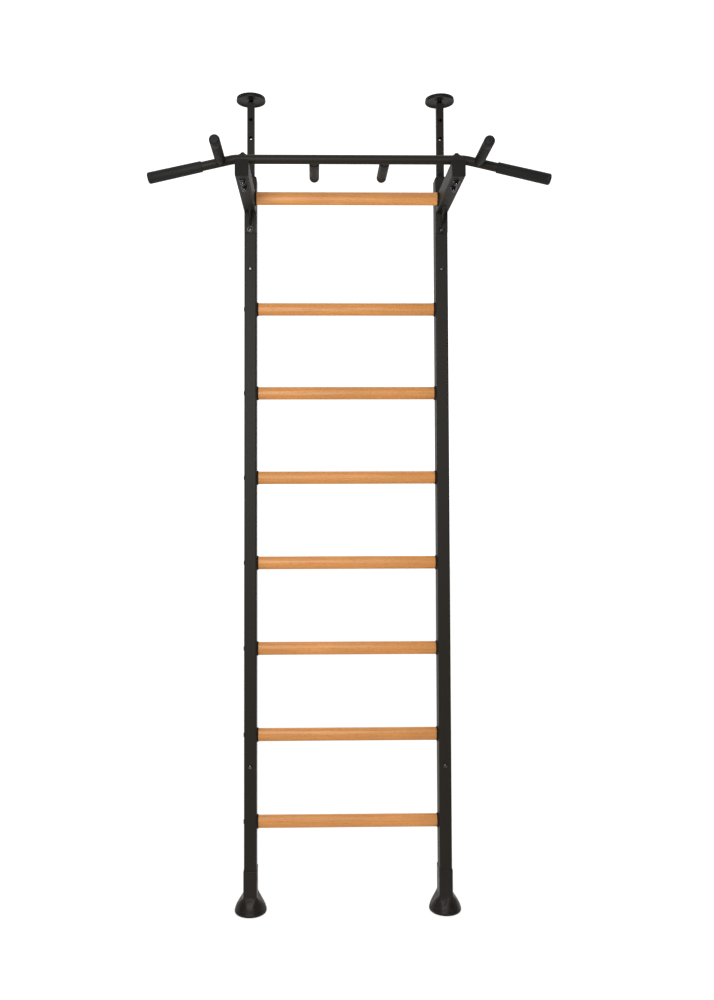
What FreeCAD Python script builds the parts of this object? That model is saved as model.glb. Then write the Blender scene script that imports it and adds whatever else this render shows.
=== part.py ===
"""Floor-to-ceiling wall bars with a forward pull-up bar, as a parametric document.

Millimetres, +Z up. The user stands at -Y. The origin is on the floor, midway between the two
uprights and midway between the foremost handle and the back of the feet.
"""
import FreeCAD, Part
import math
import os
import Sketcher

os.makedirs("parts", exist_ok=True)
doc = FreeCAD.newDocument("wall_bars")
sheet = doc.addObject("Spreadsheet::Sheet", "Sizes")

DRIVING_SIZES = [
    ("ladder_width", 672, "over the outer faces of the uprights"),
    ("upright_width", 40, "upright tube, side to side"),
    ("upright_depth", 60, "upright tube, front to back"),
    ("tube_wall", 2, "wall of the uprights, arms and ceiling posts"),
    ("tube_corner", 4, "outer corner radius of the uprights and arms"),
    ("upright_y", 236, "uprights' centre, behind the origin"),
    ("upright_bottom", 14, "height of the upright's lower end"),
    ("upright_top", 2396, "height of the upright's upper end"),
    ("fit_gap", 0.1, "clearance on each side of a part pushed into another"),
    ("lowest_rung", 287, "height of the lowest rung's centre"),
    ("rung_pitch", 279.5, "between rung centres"),
    ("rung_height", 42, "oval rung, up and down"),
    ("rung_depth", 30, "oval rung, front to back"),
    ("collar_length", 5, "moulded collar between a rung and its upright"),
    ("collar_lip", 2, "collar's rim outside the rung, at the rung"),
    ("collar_flare", 3.5, "collar's rim outside the rung, at the upright"),
    ("insert_diameter", 12, "threaded insert in a rung's end"),
    ("insert_length", 30, "threaded insert in a rung's end"),
    ("bolt_shank", 8, "bolt and screw shanks"),
    ("bolt_clearance", 8.6, "clearance hole for the shanks"),
    ("thread_bore", 8.1, "bore of nuts and inserts round the shanks"),
    ("bolt_head", 14, "button head across"),
    ("bolt_head_height", 4.4, "button head above its seat"),
    ("rung_bolt_head", 17, "flat mushroom head of a rung bolt"),
    ("rung_bolt_head_height", 3.4, "flat mushroom head of a rung bolt"),
    ("hex_key", 5, "socket across flats"),
    ("hex_key_depth", 2.4, "socket depth"),
    ("rung_bolt_length", 70, "rung bolt under its head"),
    ("nut_flats", 13, "nuts across flats"),
    ("nut_height", 6.5, "nut height, and the hexagon of a dome nut"),
    ("dome_height", 7, "dome nut above its hexagon"),
    ("washer_diameter", 20, "plain washers"),
    ("washer_thick", 1.6, "plain washers"),
    ("arm_height", 50, "arm tube, up and down"),
    ("arm_bottom", 2278, "height of the arms' underside"),
    ("arm_reach", 356, "arm's front end ahead of the upright"),
    ("arm_cap_thick", 2, "plate of the arm's end plug"),
    ("arm_cap_plug", 16, "plug inside the arm"),
    ("top_rung_reach", 72, "top rung's centre ahead of the upright"),
    ("flange_thick", 5, "plate that bolts an arm to its upright"),
    ("flange_width", 39, "plate that bolts an arm to its upright"),
    ("flange_bottom", 2211, "height of the plate's lower edge"),
    ("flange_top", 2364, "height of the plate's upper edge"),
    ("flange_low_bolt", 2222, "height of the plate's lower bolt"),
    ("flange_high_bolt", 2350, "height of the plate's upper bolt"),
    ("flange_bolt_length", 18, "flange bolt under its head"),
    ("gusset_reach", 77, "gusset along the arm"),
    ("gusset_drop", 41, "gusset down the plate"),
    ("gusset_thick", 4, "gusset plate"),
    ("gusset_nose", 4, "blunt ends of the gusset"),
    ("wall_screw_low", 471, "height of the lower wall-fixing holes"),
    ("wall_screw_high", 2093, "height of the upper wall-fixing holes"),
    ("wall_screw_length", 12, "closing screw under its head"),
    ("wall_hole", 10, "wall-fixing hole in the back wall of an upright"),
    ("bar_diameter", 27, "pull-up bar tube"),
    ("bar_wall", 2.5, "pull-up bar tube"),
    ("bar_reach", 314, "bar's centre ahead of the uprights"),
    ("bar_bend_x", 340, "where the bar's straight and sloping lines meet"),
    ("bar_bend_angle", 12.9, "slope of the bar's ends, in degrees"),
    ("bar_bend_radius", 100, "bend at the bar's centre line"),
    ("bar_end_x", 588, "tube end, side to side"),
    ("strap_thick", 2, "strap that holds the bar down on an arm"),
    ("strap_width", 20, "strap that holds the bar down on an arm"),
    ("strap_front", 9, "strap ahead of the bar's centre"),
    ("strap_foot", 70, "strap behind the bar's centre"),
    ("strap_bolt_offset", 54, "second bolt behind the bar's centre"),
    ("bar_bolt_length", 90, "bolt through the bar and the arm"),
    ("strap_bolt_length", 63, "bolt through the strap's foot and the arm"),
    ("grip_inner_diameter", 32, "outer grip at its inner end"),
    ("grip_outer_diameter", 34, "outer grip at its outer end"),
    ("grip_start_x", 436, "outer grip's inner end, side to side"),
    ("grip_end_x", 594.5, "outer grip's outer end, side to side"),
    ("grip_end_wall", 5, "closed end of a grip"),
    ("stub_tube", 25, "tube inside a stub handle"),
    ("stub_grip", 30.5, "grip on a stub handle"),
    ("front_stub_x", 380, "forward handles, side to side"),
    ("front_stub_start", 30, "grip's inner end ahead of the bar's centre"),
    ("front_stub_reach", 180, "grip's outer end ahead of the bar's centre"),
    ("rear_stub_x", 105, "rear handles, side to side"),
    ("rear_stub_start", 22, "grip's inner end behind the bar's centre"),
    ("rear_stub_reach", 166, "grip's outer end behind the bar's centre"),
    ("foot_diameter", 104, "moulded foot at the floor"),
    ("foot_height", 138, "top of the foot's sleeve"),
    ("foot_wall", 2, "foot's sleeve round the upright"),
    ("foot_shoulder", 60, "where the sleeve meets the bell"),
    ("cap_height", 7, "upright's top cap above the tube"),
    ("cap_collar_width", 30, "square collar round the post on the cap"),
    ("cap_collar_height", 3, "collar that the post's pin rests on"),
    ("cap_chamfer", 5, "sloping shoulders of the cap"),
    ("cap_skirt", 25, "cap inside the upright"),
    ("guide_gap", 0.3, "clearance on each side of a sliding post"),
    ("post_width", 24, "square ceiling post"),
    ("post_bottom", 2150, "height of the post's lower end"),
    ("post_top", 2656, "height of the post's upper end"),
    ("post_hole", 12, "row of pin holes in the post"),
    ("post_hole_pitch", 62, "between pin holes"),
    ("post_first_hole", 76, "lowest pin hole above the post's lower end"),
    ("pin_height", 2412, "height of the pin that rests on the cap"),
    ("pin_diameter", 11.8, "pin through the post"),
    ("pin_head", 16, "pin's head across"),
    ("pin_head_height", 4, "pin's head"),
    ("pin_length", 35, "pin under its head"),
    ("pin_groove", 9, "bottom of the groove for the clip"),
    ("clip_thick", 1.2, "retaining clip"),
    ("clip_diameter", 18, "retaining clip"),
    ("post_nut_height", 24, "threaded plug in the post's top"),
    ("spindle_diameter", 16, "screw spindle"),
    ("spindle_bore", 16.1, "thread bore round the spindle"),
    ("spindle_bottom", 2590, "height of the spindle's lower end"),
    ("spindle_hex", 17, "turning hexagon across flats"),
    ("spindle_hex_bottom", 2656.5, "height of the hexagon's underside"),
    ("spindle_hex_height", 8, "turning hexagon"),
    ("journal_diameter", 12, "spindle where it turns in the ceiling plate"),
    ("journal_bore", 12.1, "hole in the ceiling plate"),
    ("rivet_diameter", 18, "spindle's riveted head above the plate"),
    ("rivet_height", 1.6, "spindle's riveted head above the plate"),
    ("plate_diameter", 97, "ceiling plate and pad"),
    ("plate_rim_bottom", 2662, "height of the plate's rolled rim"),
    ("plate_top", 2670, "height of the plate's upper face"),
    ("plate_thick", 2, "ceiling plate's sheet"),
    ("pad_thick", 5, "rubber pad on the plate"),
    ("pad_recess", 20, "pocket in the pad over the riveted head"),
    ("pad_recess_depth", 2.5, "pocket in the pad over the riveted head"),
]


class Term:
    """A length, with the spreadsheet expression that gives it."""

    def __init__(self, value, text):
        self.value = value
        self.text = text

    def __add__(self, other):
        other = term(other)
        return Term(self.value + other.value, f"({self.text} + {other.text})")

    def __sub__(self, other):
        other = term(other)
        return Term(self.value - other.value, f"({self.text} - {other.text})")

    def __rsub__(self, other):
        return term(other) - self

    def __mul__(self, other):
        other = term(other)
        return Term(self.value * other.value, f"({self.text} * {other.text})")

    __radd__ = __add__
    __rmul__ = __mul__

    def __truediv__(self, other):
        other = term(other)
        return Term(self.value / other.value, f"({self.text} / {other.text})")

    def __neg__(self):
        return self * -1


def term(length):
    """Give a plain number the form of a Term."""
    if isinstance(length, Term):
        return length
    return Term(float(length), f"({float(length)!r})")


class Sizes:
    """The driving sizes, by their spreadsheet names."""


SIZE = Sizes()
for row, (alias, number, meaning) in enumerate(DRIVING_SIZES, start=1):
    sheet.set(f"A{row}", meaning)
    sheet.set(f"B{row}", str(number))
    sheet.setAlias(f"B{row}", alias)
    setattr(SIZE, alias, Term(float(number), f"Sizes.{alias}"))
doc.recompute()

SIDES = (("left", -1), ("right", 1))
UPRIGHT_X = (SIZE.ladder_width - SIZE.upright_width) / 2
FRONT_Y = SIZE.upright_y - SIZE.upright_depth / 2
BAR_Y = FRONT_Y - SIZE.bar_reach
ARM_TOP = SIZE.arm_bottom + SIZE.arm_height
ARM_MIDDLE = SIZE.arm_bottom + SIZE.arm_height / 2
BAR_Z = ARM_TOP + SIZE.bar_diameter / 2
INNER_X = UPRIGHT_X - SIZE.upright_width / 2
WOOD_HALF = INNER_X - SIZE.collar_length
RUNG_COUNT = 7
POST_HOLE_COUNT = 7
SLOPE = Term(math.tan(math.radians(SIZE.bar_bend_angle.value)), "tan(Sizes.bar_bend_angle * 1 deg)")
HALF_SLOPE = Term(math.tan(math.radians(SIZE.bar_bend_angle.value / 2)),
                  "tan(Sizes.bar_bend_angle * 0.5 deg)")
STRETCH = Term(1 / math.cos(math.radians(SIZE.bar_bend_angle.value)),
               "(1 / cos(Sizes.bar_bend_angle * 1 deg))")

ALONG_X = FreeCAD.Vector(1, 0, 0)
ALONG_Y = FreeCAD.Vector(0, 1, 0)
ALONG_Z = FreeCAD.Vector(0, 0, 1)
UPRIGHTNESS = FreeCAD.Rotation(ALONG_Z, 0)

nodes = []


def bind(thing, prop, length):
    """Tie a property to the spreadsheet."""
    thing.setExpression(prop, term(length).text)


def place(thing, x=0, y=0, z=0, turn=UPRIGHTNESS):
    """Turn an object and tie its position to the spreadsheet."""
    thing.Placement = FreeCAD.Placement(FreeCAD.Vector(), turn)
    bind(thing, ".Placement.Base.x", x)
    bind(thing, ".Placement.Base.y", y)
    bind(thing, ".Placement.Base.z", z)
    return thing


def keep(thing, name):
    """Name an object as one of the parts that are written out."""
    thing.Label = name
    nodes.append(thing)
    return thing


def new_body(name):
    """Start a PartDesign body."""
    return doc.addObject("PartDesign::Body", name)


def origin_plane(body, role):
    """Give one of a body's own origin planes."""
    return next(item for item in body.Origin.OriginFeatures if item.Role == role)


def new_sketch(body, plane, height=0):
    """Add a sketch on an origin plane, raised along the plane's normal."""
    sketch = body.newObject("Sketcher::SketchObject", f"{body.Name}_sketch")
    sketch.AttachmentSupport = (origin_plane(body, plane), [""])
    sketch.MapMode = "FlatFace"
    bind(sketch, ".AttachmentOffset.Base.z", height)
    return sketch


def pin_point(sketch, shape, end, x, y):
    """Hold one point of a sketch at two spreadsheet lengths."""
    for kind, length, axis in (("DistanceX", term(x), -2), ("DistanceY", term(y), -1)):
        if length.value == 0:
            sketch.addConstraint(Sketcher.Constraint("PointOnObject", shape, end, axis))
        else:
            rule = sketch.addConstraint(Sketcher.Constraint(kind, -1, 1, shape, end, length.value))
            bind(sketch, f"Constraints[{rule}]", length)


def measure(sketch, kind, shape, length):
    """Hold a circle's or arc's size at a spreadsheet length."""
    rule = sketch.addConstraint(Sketcher.Constraint(kind, shape, term(length).value))
    bind(sketch, f"Constraints[{rule}]", length)


def outline(sketch, points):
    """Draw a closed outline of straight lines through the given corners."""
    corners = [FreeCAD.Vector(term(x).value, term(y).value, 0) for x, y in points]
    first = sketch.GeometryCount
    count = len(corners)
    for index in range(count):
        sketch.addGeometry(Part.LineSegment(corners[index], corners[(index + 1) % count]))
    for index, (x, y) in enumerate(points):
        before = first + (index - 1) % count
        sketch.addConstraint(Sketcher.Constraint("Coincident", before, 2, first + index, 1))
        pin_point(sketch, first + index, 1, x, y)


def rectangle(sketch, width, height, x=0, y=0):
    """Draw a rectangle about a centre."""
    left = x - term(width) / 2
    low = y - term(height) / 2
    outline(sketch, [(left, low), (left + width, low), (left + width, low + height), (left, low + height)])


def rounded_rectangle(sketch, width, depth, radius):
    """Draw a rectangle about the origin with four round corners."""
    half_x = term(width) / 2
    half_y = term(depth) / 2
    corner = term(radius)
    ends = []
    for turn, (sign_x, sign_y) in enumerate(((1, -1), (1, 1), (-1, 1), (-1, -1))):
        near_x = (sign_x * (half_x - corner), sign_y * half_y)
        near_y = (sign_x * half_x, sign_y * (half_y - corner))
        start, finish = (near_x, near_y) if turn % 2 == 0 else (near_y, near_x)
        centre = FreeCAD.Vector(near_x[0].value, near_y[1].value, 0)
        start_angle = math.radians(-90 + 90 * turn)
        circle_shape = Part.Circle(centre, ALONG_Z, corner.value)
        arc = sketch.addGeometry(Part.ArcOfCircle(circle_shape, start_angle, start_angle + math.pi / 2))
        pin_point(sketch, arc, 1, *start)
        pin_point(sketch, arc, 2, *finish)
        measure(sketch, "Radius", arc, corner)
        ends.append((arc, start, finish))
    for index, (arc, start, finish) in enumerate(ends):
        following, next_start, _ = ends[(index + 1) % 4]
        line = sketch.addGeometry(Part.LineSegment(
            FreeCAD.Vector(finish[0].value, finish[1].value, 0),
            FreeCAD.Vector(next_start[0].value, next_start[1].value, 0)))
        sketch.addConstraint(Sketcher.Constraint("Coincident", arc, 2, line, 1))
        sketch.addConstraint(Sketcher.Constraint("Coincident", line, 2, following, 1))


def circle(sketch, diameter, x=0, y=0):
    """Draw a circle at a point."""
    middle = FreeCAD.Vector(term(x).value, term(y).value, 0)
    shape = sketch.addGeometry(Part.Circle(middle, ALONG_Z, term(diameter).value / 2))
    measure(sketch, "Diameter", shape, diameter)
    pin_point(sketch, shape, 3, x, y)


def hexagon(sketch, flats):
    """Draw a hexagon about the origin, by its size across flats."""
    reach = term(flats) / math.sqrt(3)
    angles = [math.radians(60 * step) for step in range(6)]
    outline(sketch, [(reach * math.cos(a), reach * round(math.sin(a), 12)) for a in angles])


def add_feature(body, kind, sketch):
    """Add a sketch-based feature to a body."""
    feature = body.newObject(f"PartDesign::{kind}", f"{body.Name}_{kind.lower()}")
    feature.Profile = sketch
    return feature


def pad(body, sketch, length, middle=False):
    """Raise a sketch along its normal, or to both sides of its plane."""
    feature = add_feature(body, "Pad", sketch)
    feature.SideType = "Symmetric" if middle else "One side"
    bind(feature, "Length", length)
    return feature


def pocket(body, sketch, depth=None, along_normal=False, both=False):
    """Cut a sketch through the body, or to a depth, and check that it cut something."""
    doc.recompute()
    before = body.Shape.Volume
    feature = add_feature(body, "Pocket", sketch)
    feature.SideType = "Symmetric" if both else "One side"
    feature.Reversed = along_normal
    if depth is None:
        feature.Type = "ThroughAll"
    else:
        bind(feature, "Length", depth)
    doc.recompute()
    if body.Shape.Volume > before - 1:
        raise RuntimeError(f"{feature.Name} cuts nothing")
    return feature


def add_loft(body, sections):
    """Join sketches one above another with straight-sided skin."""
    loft = add_feature(body, "AdditiveLoft", sections[0])
    loft.Sections = [(sketch, [""]) for sketch in sections[1:]]
    loft.Ruled = True
    return loft


def revolve(body, sketch, axis):
    """Turn a sketch all the way round one of its axes."""
    feature = add_feature(body, "Revolution", sketch)
    feature.ReferenceAxis = (sketch, [axis])
    feature.Angle = 360
    return feature


def repeat_upwards(body, feature, sketch, pitch, count):
    """Repeat a cut along the sketch's upward axis."""
    pattern = body.newObject("PartDesign::LinearPattern", f"{body.Name}_row")
    pattern.Originals = [feature]
    pattern.Direction = (sketch, ["V_Axis"])
    pattern.Mode = "Spacing"
    bind(pattern, "Offset", pitch)
    pattern.Occurrences = count
    body.Tip = pattern
    return pattern


def round_edges(body, base, kind, size, wanted):
    """Fillet or chamfer those edges of the last feature that the test picks."""
    doc.recompute()
    names = [f"Edge{i}" for i, edge in enumerate(base.Shape.Edges, start=1) if wanted(edge)]
    if not names:
        raise RuntimeError(f"{body.Name} has no such edge")
    feature = body.newObject(f"PartDesign::{kind}", f"{body.Name}_{kind.lower()}")
    feature.Base = (base, names)
    bind(feature, "Radius" if kind == "Fillet" else "Size", size)
    return feature


def outer_edge(shape_box, axis):
    """Make a test for edges along an axis at the corners of a box."""
    def wanted(edge):
        box = edge.BoundBox
        lengths = {"X": box.XLength, "Y": box.YLength, "Z": box.ZLength}
        across = [name for name in "XYZ" if name != axis]
        if any(lengths[name] > 0.001 for name in across):
            return False
        for name in across:
            spot = getattr(box, f"{name}Min")
            low = getattr(shape_box, f"{name}Min")
            high = getattr(shape_box, f"{name}Max")
            if min(abs(spot - low), abs(spot - high)) > 0.001:
                return False
        return True
    return wanted


def round_tube(body, base, axis):
    """Round the four outer corners of a tube."""
    doc.recompute()
    return round_edges(body, base, "Fillet", SIZE.tube_corner, outer_edge(base.Shape.BoundBox, axis))


def level_edge(height):
    """Make a test for edges that lie level at a height in the body."""
    def wanted(edge):
        box = edge.BoundBox
        return box.ZLength < 0.001 and abs(box.ZMin - height) < 0.001
    return wanted


def cylinder(name, diameter, height):
    """Make a cylinder, upright on its own origin."""
    shape = doc.addObject("Part::Cylinder", name)
    bind(shape, "Radius", term(diameter) / 2)
    bind(shape, "Height", height)
    return shape


def cut(name, base, tool):
    """Take one shape from another."""
    result = doc.addObject("Part::Cut", name)
    result.Base = base
    result.Tool = tool
    return result


def ring(name, outer, bore, height):
    """Make a plain ring, such as a washer."""
    return cut(name, cylinder(f"{name}_disc", outer, height), cylinder(f"{name}_bore", bore, height))


def group(name, prototype, spots):
    """Place copies of a fastener or bush, each a solid of its own, as one part."""
    links = []
    for x, y, z, turn in spots:
        link = doc.addObject("App::Link", f"{name}_copy")
        link.LinkedObject = prototype
        links.append(place(link, x, y, z, turn))
    compound = doc.addObject("Part::Compound", name)
    compound.Links = links
    return keep(compound, name)


def button_bolt(name, head, head_height, length):
    """Bolt along its own Z: the seat at 0, the domed head above and the shank below."""
    body = new_body(name)
    head_sketch = new_sketch(body, "XY_Plane")
    circle(head_sketch, head)
    head_pad = pad(body, head_sketch, head_height)
    top = term(head_height).value
    round_edges(body, head_pad, "Fillet", head_height * 0.8, level_edge(top))
    shank_sketch = new_sketch(body, "XY_Plane", -length)
    circle(shank_sketch, SIZE.bolt_shank)
    pad(body, shank_sketch, length)
    socket = new_sketch(body, "XY_Plane", head_height)
    hexagon(socket, SIZE.hex_key)
    pocket(body, socket, SIZE.hex_key_depth)
    return body


def hex_nut(name, height):
    """Nut along its own Z, from 0 upwards."""
    body = new_body(name)
    sketch = new_sketch(body, "XY_Plane")
    hexagon(sketch, SIZE.nut_flats)
    circle(sketch, SIZE.thread_bore)
    pad(body, sketch, height)
    return body


def dome_nut(name):
    """Closed nut along its own Z, its seat at 0 and its dome above."""
    body = new_body(name)
    sketch = new_sketch(body, "XY_Plane")
    hexagon(sketch, SIZE.nut_flats)
    pad(body, sketch, SIZE.nut_height)
    dome = new_sketch(body, "XY_Plane", SIZE.nut_height)
    circle(dome, SIZE.nut_flats - 1)
    dome_pad = pad(body, dome, SIZE.dome_height)
    top = SIZE.nut_height.value + SIZE.dome_height.value
    round_edges(body, dome_pad, "Fillet", SIZE.dome_height * 0.8, level_edge(top))
    bore = new_sketch(body, "XY_Plane")
    circle(bore, SIZE.thread_bore)
    pocket(body, bore, SIZE.nut_height + SIZE.dome_height / 2, along_normal=True)
    return body


HEAD_UP = UPRIGHTNESS
HEAD_DOWN = FreeCAD.Rotation(ALONG_X, 180)
HEAD_FRONT = FreeCAD.Rotation(ALONG_X, 90)
HEAD_BACK = FreeCAD.Rotation(ALONG_X, -90)
HEAD_OUT = {-1: FreeCAD.Rotation(ALONG_Y, -90), 1: FreeCAD.Rotation(ALONG_Y, 90)}


def rung_spots():
    """Give each rung's name and its centre, from the top down."""
    spots = [("top_rung", FRONT_Y - SIZE.top_rung_reach, ARM_MIDDLE)]
    for number in range(2, RUNG_COUNT + 2):
        height = SIZE.lowest_rung + SIZE.rung_pitch * (RUNG_COUNT + 1 - number)
        spots.append((f"rung_{number}", SIZE.upright_y, height))
    return spots


def square_tube(body, plane, width, height, length, middle=False):
    """Pad a rectangular tube with its wall."""
    sketch = new_sketch(body, plane)
    rectangle(sketch, width, height)
    rectangle(sketch, width - SIZE.tube_wall * 2, height - SIZE.tube_wall * 2)
    return pad(body, sketch, length, middle)


def make_upright(side, sign):
    """Rectangular tube with its rung holes, flange holes and wall-fixing holes."""
    body = new_body(f"{side}_upright")
    length = SIZE.upright_top - SIZE.upright_bottom
    tube = square_tube(body, "XY_Plane", SIZE.upright_width, SIZE.upright_depth, length)
    round_tube(body, tube, "Z")
    rung_holes = new_sketch(body, "YZ_Plane")
    circle(rung_holes, SIZE.bolt_clearance, 0, SIZE.lowest_rung - SIZE.upright_bottom)
    first_hole = pocket(body, rung_holes, both=True)
    repeat_upwards(body, first_hole, rung_holes, SIZE.rung_pitch, RUNG_COUNT)
    front_holes = new_sketch(body, "XZ_Plane")
    for height in (SIZE.wall_screw_low, SIZE.wall_screw_high, SIZE.flange_low_bolt, SIZE.flange_high_bolt):
        circle(front_holes, SIZE.bolt_clearance, 0, height - SIZE.upright_bottom)
    pocket(body, front_holes, along_normal=True)
    back_holes = new_sketch(body, "XZ_Plane")
    for height in (SIZE.wall_screw_low, SIZE.wall_screw_high):
        circle(back_holes, SIZE.wall_hole, 0, height - SIZE.upright_bottom)
    pocket(body, back_holes)
    place(body, sign * UPRIGHT_X, SIZE.upright_y, SIZE.upright_bottom)
    return keep(body, f"{side}_upright")


def make_foot(side, sign):
    """Moulded foot: a sleeve round the upright that spreads into a round bell."""
    body = new_body(f"{side}_foot")
    sleeve_x = SIZE.upright_width + SIZE.foot_wall * 2
    sleeve_y = SIZE.upright_depth + SIZE.foot_wall * 2
    rim = SIZE.foot_diameter
    round_corner = rim / 2 - 0.1
    levels = (
        (10, rim, rim, round_corner),
        (18, rim - 3, rim - 3, round_corner * 0.95),
        (28, rim - 11, rim - 10, round_corner * 0.84),
        (40, rim - 25, rim - 21, round_corner * 0.6),
        (52, rim - 45, rim - 33, round_corner * 0.3),
        (SIZE.foot_shoulder, sleeve_x, sleeve_y, SIZE.tube_corner),
    )
    sections = []
    for height, width, depth, corner in levels:
        sketch = new_sketch(body, "XY_Plane", height)
        rounded_rectangle(sketch, width, depth, corner)
        sections.append(sketch)
    add_loft(body, sections)
    base = new_sketch(body, "XY_Plane")
    rounded_rectangle(base, rim, rim, round_corner)
    rim_pad = pad(body, base, 10)
    round_edges(body, rim_pad, "Fillet", 4, level_edge(0))
    sleeve = new_sketch(body, "XY_Plane", SIZE.foot_shoulder)
    rounded_rectangle(sleeve, sleeve_x, sleeve_y, SIZE.tube_corner)
    pad(body, sleeve, SIZE.foot_height - SIZE.foot_shoulder)
    hollow = new_sketch(body, "XY_Plane", SIZE.upright_bottom)
    rectangle(hollow, SIZE.upright_width + SIZE.fit_gap * 2, SIZE.upright_depth + SIZE.fit_gap * 2)
    pocket(body, hollow, along_normal=True)
    place(body, sign * UPRIGHT_X, SIZE.upright_y)
    return keep(body, f"{side}_foot")


def make_cap(side, sign):
    """Moulded cap on the upright, with a square guide for the ceiling post."""
    body = new_body(f"{side}_upright_cap")
    base = new_sketch(body, "XY_Plane")
    rounded_rectangle(base, SIZE.upright_width, SIZE.upright_depth, SIZE.tube_corner)
    shoulder = SIZE.cap_height - SIZE.cap_chamfer
    pad(body, base, shoulder)
    low = new_sketch(body, "XY_Plane", shoulder)
    rounded_rectangle(low, SIZE.upright_width, SIZE.upright_depth, SIZE.tube_corner)
    high = new_sketch(body, "XY_Plane", SIZE.cap_height)
    narrower = SIZE.cap_chamfer * 2
    rounded_rectangle(high, SIZE.upright_width - narrower, SIZE.upright_depth - narrower,
                      SIZE.tube_corner / 4)
    add_loft(body, [low, high])
    skirt = new_sketch(body, "XY_Plane", -SIZE.cap_skirt)
    inset = (SIZE.tube_wall + SIZE.fit_gap) * 2
    rectangle(skirt, SIZE.upright_width - inset, SIZE.upright_depth - inset)
    pad(body, skirt, SIZE.cap_skirt)
    collar = new_sketch(body, "XY_Plane", SIZE.cap_height)
    rectangle(collar, SIZE.cap_collar_width, SIZE.cap_collar_width)
    pad(body, collar, SIZE.cap_collar_height)
    guide = new_sketch(body, "XY_Plane", SIZE.cap_height + SIZE.cap_collar_height)
    opening = SIZE.post_width + SIZE.guide_gap * 2
    rectangle(guide, opening, opening)
    pocket(body, guide)
    place(body, sign * UPRIGHT_X, SIZE.upright_y, SIZE.upright_top)
    return keep(body, f"{side}_upright_cap")


def make_post(side, sign):
    """Square ceiling post with its row of pin holes."""
    body = new_body(f"{side}_ceiling_post")
    square_tube(body, "XY_Plane", SIZE.post_width, SIZE.post_width, SIZE.post_top - SIZE.post_bottom)
    holes = new_sketch(body, "XZ_Plane")
    circle(holes, SIZE.post_hole, 0, SIZE.post_first_hole)
    first_hole = pocket(body, holes, both=True)
    repeat_upwards(body, first_hole, holes, SIZE.post_hole_pitch, POST_HOLE_COUNT)
    place(body, sign * UPRIGHT_X, SIZE.upright_y, SIZE.post_bottom)
    return keep(body, f"{side}_ceiling_post")


def make_post_nut(side, sign):
    """Threaded plug welded into the post's top, which the spindle turns in."""
    body = new_body(f"{side}_post_nut")
    sketch = new_sketch(body, "XY_Plane")
    width = SIZE.post_width - (SIZE.tube_wall + SIZE.fit_gap) * 2
    rectangle(sketch, width, width)
    circle(sketch, SIZE.spindle_bore)
    pad(body, sketch, SIZE.post_nut_height)
    place(body, sign * UPRIGHT_X, SIZE.upright_y, SIZE.post_top - SIZE.post_nut_height)
    return keep(body, f"{side}_post_nut")


def make_post_pin(side, sign):
    """Pin through the post, its head to the front and a groove for the clip at the back."""
    body = new_body(f"{side}_post_pin")
    sketch = new_sketch(body, "XZ_Plane")
    shank = SIZE.pin_diameter / 2
    groove = SIZE.pin_groove / 2
    head = SIZE.pin_head / 2
    groove_low = -SIZE.pin_length + 2
    groove_high = groove_low + SIZE.clip_thick + 0.2
    outline(sketch, [
        (0, SIZE.pin_head_height), (0, -SIZE.pin_length), (shank, -SIZE.pin_length),
        (shank, groove_low), (groove, groove_low), (groove, groove_high), (shank, groove_high),
        (shank, 0), (head, 0), (head, SIZE.pin_head_height)])
    revolve(body, sketch, "V_Axis")
    seat_y = SIZE.upright_y - SIZE.cap_collar_width / 2 - SIZE.guide_gap
    place(body, sign * UPRIGHT_X, seat_y, SIZE.pin_height, HEAD_FRONT)
    keep(body, f"{side}_post_pin")
    clip = ring(f"{side}_pin_clip", SIZE.clip_diameter, SIZE.pin_groove + 0.2, SIZE.clip_thick)
    clip_y = seat_y + SIZE.pin_length - 2 - 0.1
    place(clip, sign * UPRIGHT_X, clip_y, SIZE.pin_height, HEAD_FRONT)
    keep(clip, f"{side}_pin_clip")


def make_spindle(side, sign):
    """Screw spindle with its turning hexagon, journal and riveted head."""
    body = new_body(f"{side}_spindle")
    low = SIZE.spindle_bottom
    screw = SIZE.spindle_diameter / 2
    journal = SIZE.journal_diameter / 2
    rivet = SIZE.rivet_diameter / 2
    shoulder = SIZE.plate_top - SIZE.plate_thick - SIZE.fit_gap - low
    rivet_low = SIZE.plate_top + SIZE.fit_gap - low
    sketch = new_sketch(body, "XZ_Plane")
    outline(sketch, [
        (0, 0), (screw, 0), (screw, shoulder), (journal, shoulder), (journal, rivet_low),
        (rivet, rivet_low), (rivet, rivet_low + SIZE.rivet_height), (0, rivet_low + SIZE.rivet_height)])
    revolve(body, sketch, "V_Axis")
    collar = new_sketch(body, "XY_Plane", SIZE.spindle_hex_bottom - low)
    hexagon(collar, SIZE.spindle_hex)
    pad(body, collar, SIZE.spindle_hex_height)
    place(body, sign * UPRIGHT_X, SIZE.upright_y, low)
    return keep(body, f"{side}_spindle")


def make_ceiling_plate(side, sign):
    """Pressed steel plate, dished below inside a turned-down rim."""
    body = new_body(f"{side}_ceiling_plate")
    sketch = new_sketch(body, "XZ_Plane")
    rim = SIZE.plate_diameter / 2
    top = SIZE.plate_top - SIZE.plate_rim_bottom
    under = top - SIZE.plate_thick
    bore = SIZE.journal_bore / 2
    outline(sketch, [
        (bore, under), (rim - SIZE.plate_thick * 3, under), (rim - SIZE.plate_thick, 0), (rim, 0),
        (rim, top), (bore, top)])
    revolve(body, sketch, "V_Axis")
    place(body, sign * UPRIGHT_X, SIZE.upright_y, SIZE.plate_rim_bottom)
    return keep(body, f"{side}_ceiling_plate")


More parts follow.
